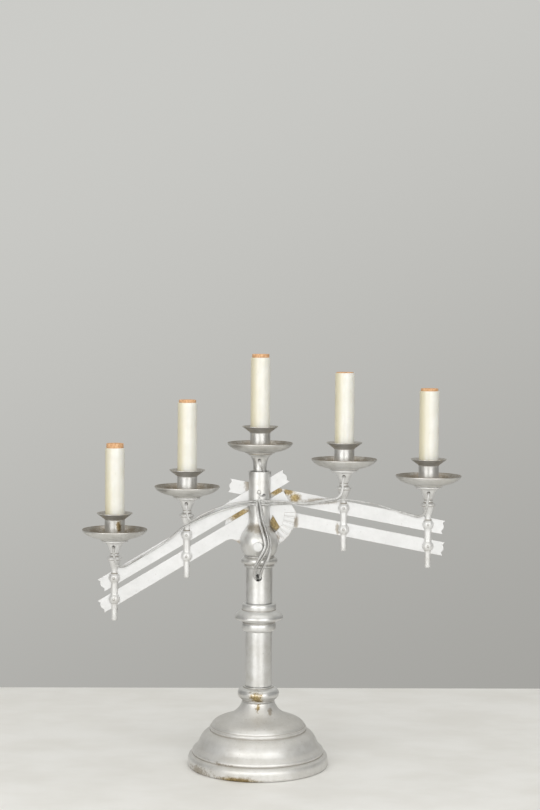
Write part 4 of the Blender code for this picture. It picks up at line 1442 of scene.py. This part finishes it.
@dataclass
class Foot:
    """The spun foot with its felt and its bushing."""

    rim: float = 88.0
    wall: float = 1.8
    bore: float = 5.1
    bushing_height: float = 8.5
    bushing_hole: float = 4.3

    def shell(self) -> bpy.types.Mesh:
        """Spins the foot and bores it for the bushing.

        Returns:
            The shell.
        """
        inner = self.rim - self.wall
        outline = Outline((self.bore, 81.0), (20.0, 81.0), (20.5, 80.6)).sweep(
            (21.3, 78.0), (23.0, 74.6), (25.8, 70.8), (29.4, 67.4), (34.0, 64.4), (39.4, 61.9), (45.0, 59.9),
            (50.4, 57.9), (55.0, 55.4), (58.0, 52.4), (59.2, 50.0)).sweep(
            (60.3, 49.1), (60.9, 47.8), (60.5, 46.4), (60.0, 45.4), (60.6, 44.6), step=0.5).sweep(
            (64.0, 43.2), (67.6, 40.6), (70.8, 37.2), (73.2, 33.2), (74.9, 29.4), (76.6, 26.2), (79.0, 23.6),
            (81.2, 21.6), (82.5, 19.8), (82.9, 18.2)).sweep(
            (82.5, 17.4), (82.0, 16.7), (82.5, 16.1), (84.0, 15.6), step=0.45).sweep(
            (86.0, 14.2), (87.4, 12.0), (self.rim, 9.4), (self.rim, 6.0), (self.rim, 2.8), (87.6, 1.3),
            (86.9, 0.4))
        outline.line((inner, 0.4), (inner, 11.0), (80.8, 17.0), (74.0, 26.0), (66.0, 38.0), (56.0, 46.0),
                     (50.0, 54.0), (36.0, 59.6), (26.0, 66.4), (20.0, 74.0), (self.bore, 75.6))
        mesh = turned(outline, FOOT_PAINT, 144)
        up = self.bushing_height
        return carved(mesh, [rod(self.bushing_hole, (0, self.rim - 12, up), (0, self.rim + 8, up))])

    def build(self) -> None:
        """Adds the foot's pieces."""
        add_piece("foot_shell", self.shell(), FOOT_PAINT, "column", ["base_shell"], sharp=50.0)
        pad = Outline((0, 2.0), (84.6, 2.0)).sweep((85.3, 1.8), (85.6, 1.2), (85.4, 0.4), (84.8, 0.0),
                step=0.3)
        pad.line((0, 0))
        add_piece("foot_felt", turned(pad, FELT, 96), FELT, "column", ["base_felt"])
        low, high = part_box("cord_bushing")
        depth = (high.y - low.y) / MM
        lip = depth - 3.0
        bushing = Outline((2.6, 0), (3.6, 0), (4.0, 0.4), (4.0, lip), (5.2, lip)).sweep(
            (5.6, lip + 0.4), (5.5, lip + 1.2), (4.9, lip + 2.3), (3.9, lip + 2.9), (3.2, depth), step=0.3)
        bushing.sweep((2.7, depth - 0.3), (2.6, depth - 1.0), step=0.3)
        place = Vector((0, low.y, (low.z + high.z) / 2))
        mesh = placed(turned(bushing, RUBBER, 40), place, Euler((-math.pi / 2, 0, 0)))
        add_piece("foot_bushing", mesh, RUBBER, "column", ["cord_bushing"])


@dataclass
class Column:
    """The stacked turnings and tubes between the foot and the hub."""

    tube: float = 16.7
    wall: float = 1.8
    bore: float = 5.1
    lead_hole: float = 4.6
    lead_hole_below_top: float = 11.5
    lower_tube_drop: float = 3.3

    def add_tube(self, name: str, node: str, cutters: Sequence[bpy.types.Mesh] = (),
            lower: float = 0.0) -> None:
        """Adds a length of tube.

        Args:
            name: The piece's name.
            node: The CAD node that it replaces.
            cutters: What is cut out of it.
            lower: How far it runs on below the node.
        """
        low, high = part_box(node)
        low = low - Vector((0, 0, lower * MM))
        long, outside, inside = (high.z - low.z) / MM, self.tube, self.tube - self.wall
        outline = Outline((inside, long), (outside - 0.3, long), (outside, long - 0.3))
        outline.line(*[(outside, long * k / 8) for k in range(7, 0, -1)])
        outline.line((outside, 0.3), (outside - 0.3, 0), (inside, 0))
        mesh = placed(turned(outline, PAINT, 96), foot_of(node) - Vector((0, 0, lower * MM)))
        add_piece(name, carved(mesh, cutters) if cutters else mesh, PAINT, "column", [node])

    def collar(self) -> Outline:
        """Gives the collar's half-section."""
        top = 22.4 - self.lower_tube_drop
        return Outline((self.bore, top), (17.0, top)).sweep(
            (18.3, top - 0.1), (18.9, top - 0.7), (18.7, top - 1.4), step=0.3).sweep(
            (19.4, 17.2), (21.6, 16.4), (23.9, 14.8), (25.5, 12.2), (26.0, 9.5), (25.5, 6.8), (24.0, 4.3),
            (22.0, 2.6), (20.6, 2.0)).sweep((20.2, 1.4), (20.4, 0.7), (20.2, 0.1),
            step=0.3).line((self.bore, 0))

    def knop(self) -> Outline:
        """Gives the knop's half-section."""
        return Outline((self.bore, 34.8), (18.6, 34.8)).sweep(
            (20.0, 34.5), (21.0, 33.7), (21.4, 32.4), (21.5, 30.4), (21.4, 28.2), (21.1, 26.9),
            step=0.5).sweep(
            (21.4, 26.3), (23.0, 25.6), (25.6, 24.0), (28.0, 21.9), (29.7, 19.8), (30.5, 17.9),
            (30.5, 16.6)).sweep(
            (30.0, 15.6), (28.4, 14.5), (25.8, 13.4), (23.0, 12.5), (20.9, 11.7), (20.1, 11.0),
            step=0.5).sweep(
            (20.3, 10.2), (21.0, 9.4), (21.5, 8.0), (21.6, 5.4), (21.4, 2.8), (20.7, 1.2), (19.4, 0.3),
            (18.0, 0.0),
            step=0.5).line((self.bore, 0))

    def ring(self) -> Outline:
        """Gives the half-section of the ring below the hub."""
        return Outline((10.3, 14.4), (17.8, 14.4)).sweep((18.6, 14.1), (18.9, 13.4), (18.6, 12.7),
                step=0.3).sweep(
            (19.4, 12.2), (21.2, 11.6), (22.6, 10.2), (23.0, 8.4), (22.7, 6.6), (21.5, 5.1),
            (19.8, 4.3)).sweep(
            (18.9, 3.9), (18.6, 3.2), (19.0, 2.5), (19.3, 1.6), (18.9, 0.7), (17.9, 0.1),
            step=0.35).line((10.3, 0))

    def build(self) -> None:
        """Adds the column's pieces."""
        for name, node, outline, finish in (
                ("collar_turning", "base_collar", self.collar(), COLLAR_PAINT),
                ("middle_knop", "mid_knop", self.knop(), PAINT),
                ("ring_turning", "ring_collar", self.ring(), PAINT)):
            add_piece(name, placed(turned(outline, finish, 96), foot_of(node)), finish, "column", [node])
        self.add_tube("lower_tube", "lower_stem", lower=self.lower_tube_drop)
        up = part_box("upper_stem")[1].z / MM - self.lead_hole_below_top
        self.add_tube("upper_tube", "upper_stem", [rod(self.lead_hole, (0, -self.tube - 4, up), (0, -3, up))])
        for node in ("tie_rod", "tie_rod_nut"):
            for slot in frame["nodes"][node].material_slots:
                slot.material = STEEL.material()


# ---------------------------------------------------------------- hub

@dataclass
class Hub:
    """The casting that holds the bars, with its pins and its two sprung knobs."""

    height: float = 105.6
    tube: float = 14.1
    bore: float = 12.3
    bore_depth: float = 7.0
    bar_slot: float = 4.2
    band_slot: float = 5.0
    slot_bottom: float = 6.2
    slot_top: float = 102.0
    pin: float = 2.5
    plunger: float = 2.3
    spring_well: float = 3.6
    spring_turns: float = 4.0
    spring_radius: float = 2.75
    spring_wire: float = 0.32
    spring_gap: float = 0.4
    channel: Place = (6.2, -8.5, 2.0)

    def casting(self, foot: Vector) -> bpy.types.Mesh:
        """Turns the casting and cuts its slots and holes.

        Args:
            foot: The middle of the bulb's foot.

        Returns:
            The casting.
        """
        floor = self.height - self.bore_depth
        outline = Outline((0, floor), (self.bore, floor), (self.bore, self.height - 0.4),
                (self.bore + 0.4, self.height),
                          (self.tube - 0.4, self.height), (self.tube, self.height - 0.4))
        outline.line(*[(self.tube, z) for z in range(100, 44, -8)], (self.tube, 42.5)).sweep(
            (14.4, 40.4), (15.4, 37.8), (17.0, 34.8), (19.2, 31.3), (21.6, 27.4), (23.4, 23.4), (24.3, 19.4),
            (24.4, 15.4), (23.7, 11.2), (22.4, 7.2), (20.8, 3.6), (19.6, 1.4)).sweep(
            (19.0, 0.8), (18.7, 0.1), step=0.3).line((10.0, 0), (10.0, -14.0), (5.4, -14.0), (5.4, -0.6),
            (0, -0.6))
        mesh = placed(turned(outline, HUB_PAINT, 96), foot)
        base, reach = foot.z / MM, 40.0
        pivots = [pivot_of(name).z / MM for name in ("left_arm", "left_lower_arm")]
        low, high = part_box("front_knob")
        knob = (low.z + high.z) / 2 / MM
        x, y, radius = self.channel
        cutters = [
            block((-reach, -self.bar_slot, base + self.slot_bottom),
            (reach, self.bar_slot, base + self.slot_top)),
            block((-reach, -self.band_slot, base + self.slot_bottom), (reach, self.band_slot, base + 37.0)),
            *[rod(self.pin + 0.14, (0, -reach, z), (0, reach, z)) for z in pivots],
            rod(self.spring_well, (0, -14.5, knob), (0, 14.5, knob)),
            rod(self.plunger, (0, -reach, knob), (0, reach, knob)),
            rod(radius, (x, y, pivots[1] + 20), (x, y, base + floor + 1)),
            rod(radius, (x, y + 1, pivots[1] + 24.5), (x - 0.6, -self.tube - 4, pivots[1] + 22.0)),
        ]
        return carved(mesh, cutters)

    def pins(self) -> bpy.types.Mesh:
        """Makes the two hinge pins with peened ends.

        Returns:
            Both pins as one mesh.
        """
        half = self.tube - 0.2
        outline = Outline((0, half)).sweep(
            (1.2, half - 0.04), (2.1, half - 0.2), (self.pin, half - 0.7), step=0.3)
        outline.line((self.pin, 0)).line((self.pin, 0.7 - half)).sweep(
            (2.1, 0.2 - half), (1.2, 0.04 - half), (0, -half), step=0.3)
        across = Euler((math.pi / 2, 0, 0))
        places = [Vector((0, 0, pivot_of(name).z)) for name in ("left_arm", "left_lower_arm")]
        return joined([placed(turned(outline, PIN_PAINT, 36), place, across) for place in places], "pins")

    def add_knob(self, word: str, facing: int) -> None:
        """Adds a knob on its plunger, and its spring.

        Args:
            word: front or rear.
            facing: -1 at the front and +1 at the rear.
        """
        low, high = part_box(f"{word}_knob")
        long = (high.y - low.y) / MM
        head = long - 3.2
        nose = low.y if facing > 0 else high.y
        outline = Outline((0, 0), (1.2, 0)).sweep((1.6, 0.4), (1.9, 1.0), step=0.3)
        outline.line((1.9, 1.2), (3.2, 1.2), (3.2, 2.8), (1.9, 2.8), (1.9, head), (5.2, head)).sweep(
            (5.9, head + 0.3), (6.1, head + 1.0), (6.1, head + 2.1), (5.8, head + 2.8), (5.2, long - 0.05),
            step=0.3)
        outline.line((3.0, long), (0, long))
        turn = Euler((-facing * math.pi / 2, 0, 0))
        place = Vector((0, nose, (low.z + high.z) / 2))
        mesh = placed(turned(outline, KNOB_PAINT, 48), place, turn)
        add_piece(f"{word}_knob_turning", mesh, KNOB_PAINT, f"{word}_knob", [f"{word}_knob"])
        low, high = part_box(f"{word}_spring")
        near = low.y if facing > 0 else high.y
        gap, empty = self.spring_gap * MM, bpy.data.meshes.new("empty")
        mesh = COIL.run(empty, STEEL, turns=self.spring_turns, radius=self.spring_radius * MM,
                        height=high.y - low.y - 2 * gap, wire=self.spring_wire * MM)
        mesh = placed(mesh, Vector((0, near + facing * gap, (low.z + high.z) / 2)), turn)
        coil = add_piece(f"{word}_spring_coil", mesh, STEEL, None, [f"{word}_spring"])
        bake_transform(coil)

    def build(self) -> None:
        """Adds the hub's pieces."""
        foot = Vector((0, 0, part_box("hub_housing")[1].z - self.height * MM))
        add_piece("hub_casting", self.casting(foot), HUB_PAINT, "column", ["hub_housing"])
        add_piece("hub_pins", self.pins(), PIN_PAINT, "column", ["hub_upper_pin", "hub_lower_pin"])
        self.add_knob("front", -1)
        self.add_knob("rear", 1)


# ---------------------------------------------------------------- lights

@dataclass
class Light:
    """Pan, cup, candle sleeve and lamp socket over a fitting."""

    name: str
    body: str
    liner_shows: float
    vase_bore: float = 4.8
    taller: float = 0.0
    sleeve: float = 12.25
    sleeve_wall: float = 1.0

    def pan(self) -> Outline:
        """Gives the pan's half-section."""
        return Outline((self.vase_bore, 3.1), (17.6, 3.1)).sweep(
            (21.0, 3.4), (25.6, 4.4), (30.2, 6.0), (34.2, 8.1), (37.3, 10.6), (39.2, 12.7)).sweep(
            (40.1, 13.3), (40.8, 13.0), (41.0, 12.3), (40.8, 11.5), (40.3, 10.9), step=0.3).sweep(
            (38.9, 9.2), (36.4, 7.2), (32.8, 5.1), (28.4, 3.4), (24.0, 2.2), (20.6, 1.7)).sweep(
            (19.6, 1.6), (19.2, 1.1), (18.8, 0.4), (18.2, 0.0), step=0.3).line((self.vase_bore, 0))

    def cup(self) -> Outline:
        """Gives the cup's half-section."""
        return Outline((self.vase_bore, 3.0), (10.9, 3.0), (10.9, 25.0), (12.5, 25.0)).sweep(
            (13.6, 25.5), (15.6, 26.6), (18.0, 28.2), (20.0, 29.5), (21.2, 30.2)).sweep(
            (21.8, 30.5), (22.3, 30.3), (22.4, 29.7), (22.0, 29.2), step=0.25).sweep(
            (20.6, 28.2), (18.4, 26.6), (16.4, 25.1), (14.6, 23.8), (13.3, 22.9), (12.8, 22.0),
            step=0.5).line(
            (12.7, 21.4), (12.7, 14.0), (12.7, 7.0), (12.7, 0.3), (12.4, 0), (self.vase_bore, 0))

    def sleeve_outline(self, long: float) -> Outline:
        """Gives the sleeve's half-section.

        Args:
            long: Its length, in millimetres.

        Returns:
            The half-section.
        """
        inside = self.sleeve - self.sleeve_wall
        outline = Outline((inside, 0), (self.sleeve - 0.2, 0), (self.sleeve, 0.2))
        outline.line(*[(self.sleeve, long * k / 10) for k in range(1, 10)])
        return outline.line((self.sleeve, long - 0.5)).sweep(
            (self.sleeve - 0.1, long - 0.15), (self.sleeve - 0.4, long), (inside + 0.1, long - 0.15),
            (inside, long - 0.5), step=0.2)

    def add_sleeve(self) -> None:
        """Adds the sleeve, with its liner showing above it."""
        node = f"{self.name}_sleeve"
        low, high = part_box(node)
        long = (high.z - low.z) / MM - self.liner_shows + self.taller
        mesh = turned(self.sleeve_outline(long), IVORY, 64)
        place = read(mesh.vertices, "co", 3)
        # Higher towards the left front, where the sleeve gets its painted warm reflection.
        around = (place[:, 0] * -0.93 + place[:, 1] * -0.37) / (self.sleeve * MM)
        store(mesh, "aged", around)
        add_piece(f"{self.name}_candle_sleeve", placed(mesh, foot_of(node)), IVORY, self.body, [node])

    def add_socket(self) -> None:
        """Adds the fibre barrel, the threaded shell in it and the contact at its bottom."""
        node = f"{self.name}_socket"
        low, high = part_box(node)
        long = (high.z - low.z) / MM + self.taller
        barrel, bottom = 10.8, long - 42.0
        outline = Outline((0, long - 30.0), (7.1, long - 30.0), (7.1, long - 1.5), (8.2, long - 1.2)).sweep(
            (8.6, long - 0.9), (8.8, long - 0.3), (9.2, long), (10.2, long), (barrel - 0.05, long - 0.3),
            (barrel, long - 0.9), step=0.25)
        outline.line((barrel, bottom + 0.5), (barrel - 0.5, bottom), (3.5, bottom), (3.5, 0.3), (3.2, 0),
                (0, 0))
        add_piece(f"{self.name}_lamp_socket", placed(turned(outline, FIBRE, 48), foot_of(node)), FIBRE,
                self.body, [node])

        shell_foot = long - 27.0
        shell = Outline((6.95, shell_foot))
        shell.line(*[(6.95, shell_foot + 25.4 * k / 12) for k in range(1, 13)], (6.5, long - 1.4))
        shell.line(*[(6.3, long - 2.0 - 0.45 * k) for k in range(54)], (6.3, shell_foot))
        mesh = turned(shell, SHELL_BRASS, 40, thread_inside=6.4 * MM, thread_depth=0.26 * MM,
                thread_pitch=2.54 * MM)
        add_piece(f"{self.name}_screw_shell", placed(mesh, foot_of(node)), SHELL_BRASS, self.body)
        floor = long - 30.0
        tip = Outline((0, floor + 2.6)).sweep((1.2, floor + 2.4), (2.0, floor + 1.7), (2.3, floor + 0.8),
                step=0.3)
        tip.line((2.3, floor - 0.2), (0, floor - 0.2))
        add_piece(f"{self.name}_contact", placed(turned(tip, SHELL_BRASS, 24), foot_of(node)), SHELL_BRASS,
                self.body)

    def build(self) -> None:
        """Adds the light's pieces."""
        for part, name, outline, finish, sides in (
                ("pan", "drip_pan", self.pan(), PAN_PAINT, 112),
                ("cup", "candle_cup", self.cup(), CUP_PAINT, 80)):
            node = f"{self.name}_{part}"
            mesh = placed(turned(outline, finish, sides), foot_of(node))
            add_piece(f"{self.name}_{name}", mesh, finish, self.body, [node])
        self.add_sleeve()
        self.add_socket()


@dataclass
class CentreFitting:
    """The fixed vase on the hub with the middle light."""

    lead_hole: float = 2.1
    lead_hole_drop: float = 8.2
    tenon: float = 7.4

    def build(self) -> None:
        """Adds the fitting and its light."""
        low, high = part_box("centre_vase")
        long = (high.z - low.z) / MM
        top = long - self.tenon
        outline = Outline((0, long), (4.2, long), (4.5, long - 0.3), (4.5, top), (14.4, top)).sweep(
            (15.0, top - 0.2), (15.3, top - 0.8), (14.8, top - 1.5), step=0.3).sweep(
            (13.4, top - 2.4), (12.0, top - 3.9), (10.7, top - 6.0), (9.6, top - 8.8), (8.8, top - 12.0),
            (8.5, top - 15.0), (8.4, top - 18.0)).line((8.4, 8.0)).sweep((8.2, 6.2), (7.9, 4.6), step=0.4)
        outline.line((7.9, 0), (0, 0))
        mesh = placed(turned(outline, PAINT, 64), foot_of("centre_vase"))
        hole = low.z / MM + top - self.lead_hole_drop
        mesh = carved(mesh, [rod(self.lead_hole, (0, -18, hole), (0, -6, hole))])
        add_piece("centre_vase_turning", mesh, PAINT, "column", ["centre_vase"])
        Light("centre", "column", 3.6, taller=2.4).build()


# ---------------------------------------------------------------- arms

@dataclass
class Pendant:
    """A hanging fitting: its turned stem, two pins and its light."""

    side: Side
    rank: Rank
    liner_shows: float
    spacing: float = 27.0
    slot: float = 1.8
    plane: float = 1.9
    pin: float = 1.5
    pin_length: float = 14.0

    def outline(self) -> Outline:
        """Gives the stem's half-section, from the upper pivot."""
        drop = -self.spacing
        return Outline((0, 55.3), (4.2, 55.3), (4.5, 55.0), (4.5, 47.9), (15.6, 47.9)).sweep(
            (16.4, 47.5), (16.7, 46.7), (16.4, 45.8), (15.6, 45.2), step=0.3).sweep(
            (13.2, 44.9), (11.5, 44.3), (10.3, 43.2), (9.1, 41.2), (8.0, 38.7), (6.9, 36.0), (5.9, 33.4),
            (5.2, 31.4)).sweep((5.1, 30.8), (5.6, 30.1), (5.9, 29.2), (5.8, 28.3), (5.4, 27.7),
            step=0.3).sweep(
            (6.0, 27.1), (7.8, 26.5), (9.0, 25.6), (9.3, 24.5), (8.8, 23.5), (7.9, 22.9), step=0.35).sweep(
            (7.6, 22.2), (7.1, 20.2), (6.3, 17.4), (5.4, 14.6), (4.7, 12.0), (4.3, 9.6), (4.2, 7.8),
            (4.6, 6.4)).sweep((4.8, 6.1), (4.7, 5.9), step=0.3).ball(7.3, 0, 50, -46).line((4.85, -5.9)).line(
            (4.85, -9.0), (4.85, -13.5), (4.85, -18.0), (4.85, drop + 5.9)).ball(7.3, drop, 46, -52).sweep(
            (4.3, drop - 6.6), (4.2, drop - 7.6), step=0.4).line(
            (4.15, drop - 12), (4.0, drop - 18), (3.8, drop - 25.4)).sweep(
            (3.5, drop - 26.6), (2.6, drop - 27.3), (0, drop - 27.5), step=0.4)

    def stem(self, pivot: Vector) -> bpy.types.Mesh:
        """Turns the stem and cuts its slot and holes.

        Args:
            pivot: The upper pivot.

        Returns:
            The stem, in place.
        """
        x, up = pivot.x / MM, pivot.z / MM
        mesh = placed(turned(self.outline(), STEM_PAINT, 56), Vector((pivot.x, 0, pivot.z)))
        y = self.side.value * self.plane
        mesh = placed(mesh, Vector((0, y * MM, 0)))
        low = up - self.spacing
        cutters = [
            block((x - 20, y - self.slot, low - 13.9), (x + 20, y + self.slot, up + 15.8)),
            *[rod(self.pin + 0.12, (x, y - 18, z), (x, y + 18, z), 24) for z in (up, low)],
            rod(2.1, (x, y - 16, up + 39.7), (x, y - 5.5, up + 39.7), 28),
        ]
        return carved(mesh, cutters)

    def pins(self, pivot: Vector) -> bpy.types.Mesh:
        """Makes the fitting's two peened pins.

        Args:
            pivot: The upper pivot.

        Returns:
            Both pins as one mesh.
        """
        half = self.pin_length / 2
        outline = Outline((0, half)).sweep(
            (0.8, half - 0.05), (1.3, half - 0.25), (self.pin, half - 0.7), step=0.2)
        outline.line((self.pin, 0.7 - half)).sweep(
            (1.3, 0.25 - half), (0.8, 0.05 - half), (0, -half), step=0.2)
        across = Euler((math.pi / 2, 0, 0))
        places = [Vector((pivot.x, self.side.value * self.plane * MM, pivot.z - drop * MM))
                  for drop in (0.0, self.spacing)]
        return joined([placed(turned(outline, PIN_PAINT, 24), place, across) for place in places], "pins")

    def build(self) -> None:
        """Adds the fitting's pieces."""
        word = f"{self.side.name.lower()}_{self.rank.value}"
        body = f"{word}_pendant"
        pivot = pivot_of(f"{word}_swing")
        add_piece(f"{body}_turning", self.stem(pivot), STEM_PAINT, body, [f"{word}_stem"])
        add_piece(f"{body}_pins", self.pins(pivot), PIN_PAINT, body,
                [f"{word}_upper_pin", f"{word}_lower_pin"])
        Light(word, body, self.liner_shows).build()


@dataclass
class Arm:
    """Two parallel bars, the lower one with a toothed sector at the hub."""

    side: Side
    width: float = 17.0
    thickness: float = 3.0
    plane: float = 1.9
    inner_reach: float = 107.0
    outer_reach: float = 214.0
    end: float = 20.0
    upper_stub: float = 39.0
    lower_stub: float = 40.0
    notch: float = 2.2
    sector: float = 46.0
    band: float = 31.5
    fillet: float = 11.0
    tooth_pitch: float = 10.0
    tooth_width: float = 8.1
    tooth_height: float = 0.9
    tooth_taper: float = 0.86
    first_tooth: float = 213.0
    teeth: int = 13
    holes: tuple[float, float] = (2.62, 1.62)
    finishes: dict[str, Finish] = field(default_factory=dict)

    def tilt(self) -> float:
        """Gives how far the arm hangs below level, in radians."""
        word = self.side.name.lower()
        hub, far = pivot_of(f"{word}_arm"), pivot_of(f"{word}_outer_swing")
        return math.atan2(hub.z - far.z, abs(far.x - hub.x))

    def fishtail(self, end: float, outward: int) -> list[Pair]:
        """Gives a bar's cut end: two tips and a round lobe between them.

        Args:
            end: Where the end is, from the pivot.
            outward: +1 at the far end and -1 at the hub end.

        Returns:
            Its points, from the top down.
        """
        half, notch = self.width / 2, self.notch
        depth = [0.0, notch * 0.55, notch, notch * 0.62, notch * 0.22, 0.0]
        across = [1.0, 0.80, 0.57, 0.42, 0.22, 0.0]
        upper = [(end - outward * d, a * half) for d, a in zip(depth, across)]
        return upper + [(x, -z) for x, z in upper[-2::-1]]

    def upper_outline(self) -> list[Pair]:
        """Gives the upper bar's outline, from its hub pivot."""
        return self.fishtail(self.outer_reach + self.end, 1) + self.fishtail(-self.upper_stub, -1)[::-1]

    def arc(self, radius: float, start: float, end: float, steps: int) -> list[Pair]:
        """Gives points on a circle round the pivot, with angles in degrees."""
        angles = [math.radians(start + (end - start) * k / steps) for k in range(steps + 1)]
        return [(radius * math.cos(a), radius * math.sin(a)) for a in angles]

    def lower_outline(self) -> list[Pair]:
        """Gives the lower bar's outline with its sector, from its hub pivot."""
        half = self.width / 2
        start = 180 + math.degrees(math.acos(self.lower_stub / self.sector))
        last = 360 - math.degrees(math.asin((half + self.fillet * 0.75) / self.sector))
        rim = self.arc(self.sector, start, last, 56)
        x, z = rim[-1]
        turn = smooth_route([Vector(p) for p in ((x, z, 0), (x + 1.7, z + 3.9, 0), (x + 5.0, -half - 1.5, 0),
                                                 (x + self.fillet, -half, 0))], 1.2)
        return (self.fishtail(self.outer_reach + self.end, 1)[::-1] + [(-self.lower_stub, half)] + rim
                + [(p.x, p.y) for p in turn[1:]])

    def window(self) -> list[Pair]:
        """Gives the outline of the opening inside the toothed band."""
        outer, inner, edge, end = self.band - 0.5, 16.5, 13.0, 322.0
        outer_start = 180 + math.degrees(math.acos(edge / outer))
        inner_start = 180 + math.degrees(math.acos(edge / inner))
        return self.arc(outer, outer_start, end, 30) + self.arc(inner, end - 4, inner_start, 20)

    def bar(self, outline: Sequence[Pair], hub: Vector, window: Sequence[Pair] = ()) -> bpy.types.Mesh:
        """Cuts a bar, bores it and puts it in place.

        Args:
            outline: Its outline, for an arm that reaches right.
            hub: Its hub pivot.
            window: The outline of an opening in it.

        Returns:
            The bar, in place.
        """
        sign, half = self.side.value, self.thickness / 2
        mesh = extruded([(sign * x, z) for x, z in outline], -half, half)
        cutters = [rod(radius, (sign * reach, -half - 2, 0), (sign * reach, half + 2, 0))
                   for reach, radius in ((0.0, self.holes[0]), (self.inner_reach, self.holes[1]),
                                         (self.outer_reach, self.holes[1]))]
        if window:
            cutters.append(extruded([(sign * x, z) for x, z in window], -half - 2, half + 2))
        mesh = softened(carved(mesh, cutters), 0.35, 0.9)
        return placed(mesh, Vector((hub.x, sign * self.plane * MM, hub.z)), Euler((0, sign * self.tilt(), 0)))

    def tooth_ring(self, hub: Vector, finish: Finish) -> bpy.types.Mesh:
        """Repeats one tooth round the sector.

        Args:
            hub: The lower bar's hub pivot.
            finish: What the teeth are dressed in.

        Returns:
            The teeth, in place.
        """
        sign, spread = self.side.value, math.radians(self.tooth_width / 2)
        root, crest = self.thickness / 2 - 0.4, self.thickness / 2 + self.tooth_height
        rings = []
        for height, share in ((root, 1.0), (crest, self.tooth_taper)):
            corners = [(r, a * share) for r, a in ((self.band, -spread), (self.sector - 0.4, -spread),
                                                    (self.sector - 0.4, spread), (self.band, spread))]
            rings.append([(r * math.cos(a) * MM, sign * height * MM, r * math.sin(a) * MM)
                          for r, a in corners])
        bm = bridged(rings)
        bmesh.ops.bevel(bm, geom=bm.edges[:], offset=0.22 * MM, segments=2, affect="EDGES", profile=0.5)
        tooth = meshed(bm, "tooth")
        pitch, first = math.radians(self.tooth_pitch), math.radians(self.first_tooth)
        if sign < 0:
            pitch, first = -pitch, math.pi - first
        mesh = TEETH.run(tooth, finish, count=self.teeth, first=first, pitch=pitch)
        return placed(mesh, Vector((hub.x, sign * self.plane * MM, hub.z)), Euler((0, sign * self.tilt(), 0)))

    def build(self) -> None:
        """Adds the arm's bars and teeth."""
        word = self.side.name.lower()
        upper, lower = pivot_of(f"{word}_arm"), pivot_of(f"{word}_lower_arm")
        finish = self.finishes["upper"]
        add_piece(f"{word}_upper_bar_plate", self.bar(self.upper_outline(), upper), finish,
                f"{word}_upper_bar",
                  [f"{word}_upper_bar"])
        finish = self.finishes["lower"]
        add_piece(f"{word}_lower_bar_plate", self.bar(self.lower_outline(), lower, self.window()), finish,
                  f"{word}_lower_bar", [f"{word}_lower_bar"])
        add_piece(f"{word}_sector_teeth", self.tooth_ring(lower, finish), finish, f"{word}_lower_bar")


def main() -> None:
    """Builds the studio and then the candelabra, from the leads to the arms."""
    logging.basicConfig(level=logging.INFO, format="%(name)s: %(message)s")
    Studio().build()
    Leads().build()
    Foot().build()
    Column().build()
    Hub().build()
    CentreFitting().build()
    shows = {(Side.LEFT, Rank.INNER): 2.6, (Side.LEFT, Rank.OUTER): 4.8,
             (Side.RIGHT, Rank.INNER): 0.2, (Side.RIGHT, Rank.OUTER): 2.4}
    for (side, rank), liner in shows.items():
        Pendant(side, rank, liner).build()
    Arm(Side.LEFT, finishes={"upper": BAR_PAINT, "lower": FRONT_LOWER_PAINT}).build()
    Arm(Side.RIGHT, finishes={"upper": REAR_UPPER_PAINT, "lower": REAR_LOWER_PAINT}).build()


if __name__ == "__main__":
    main()
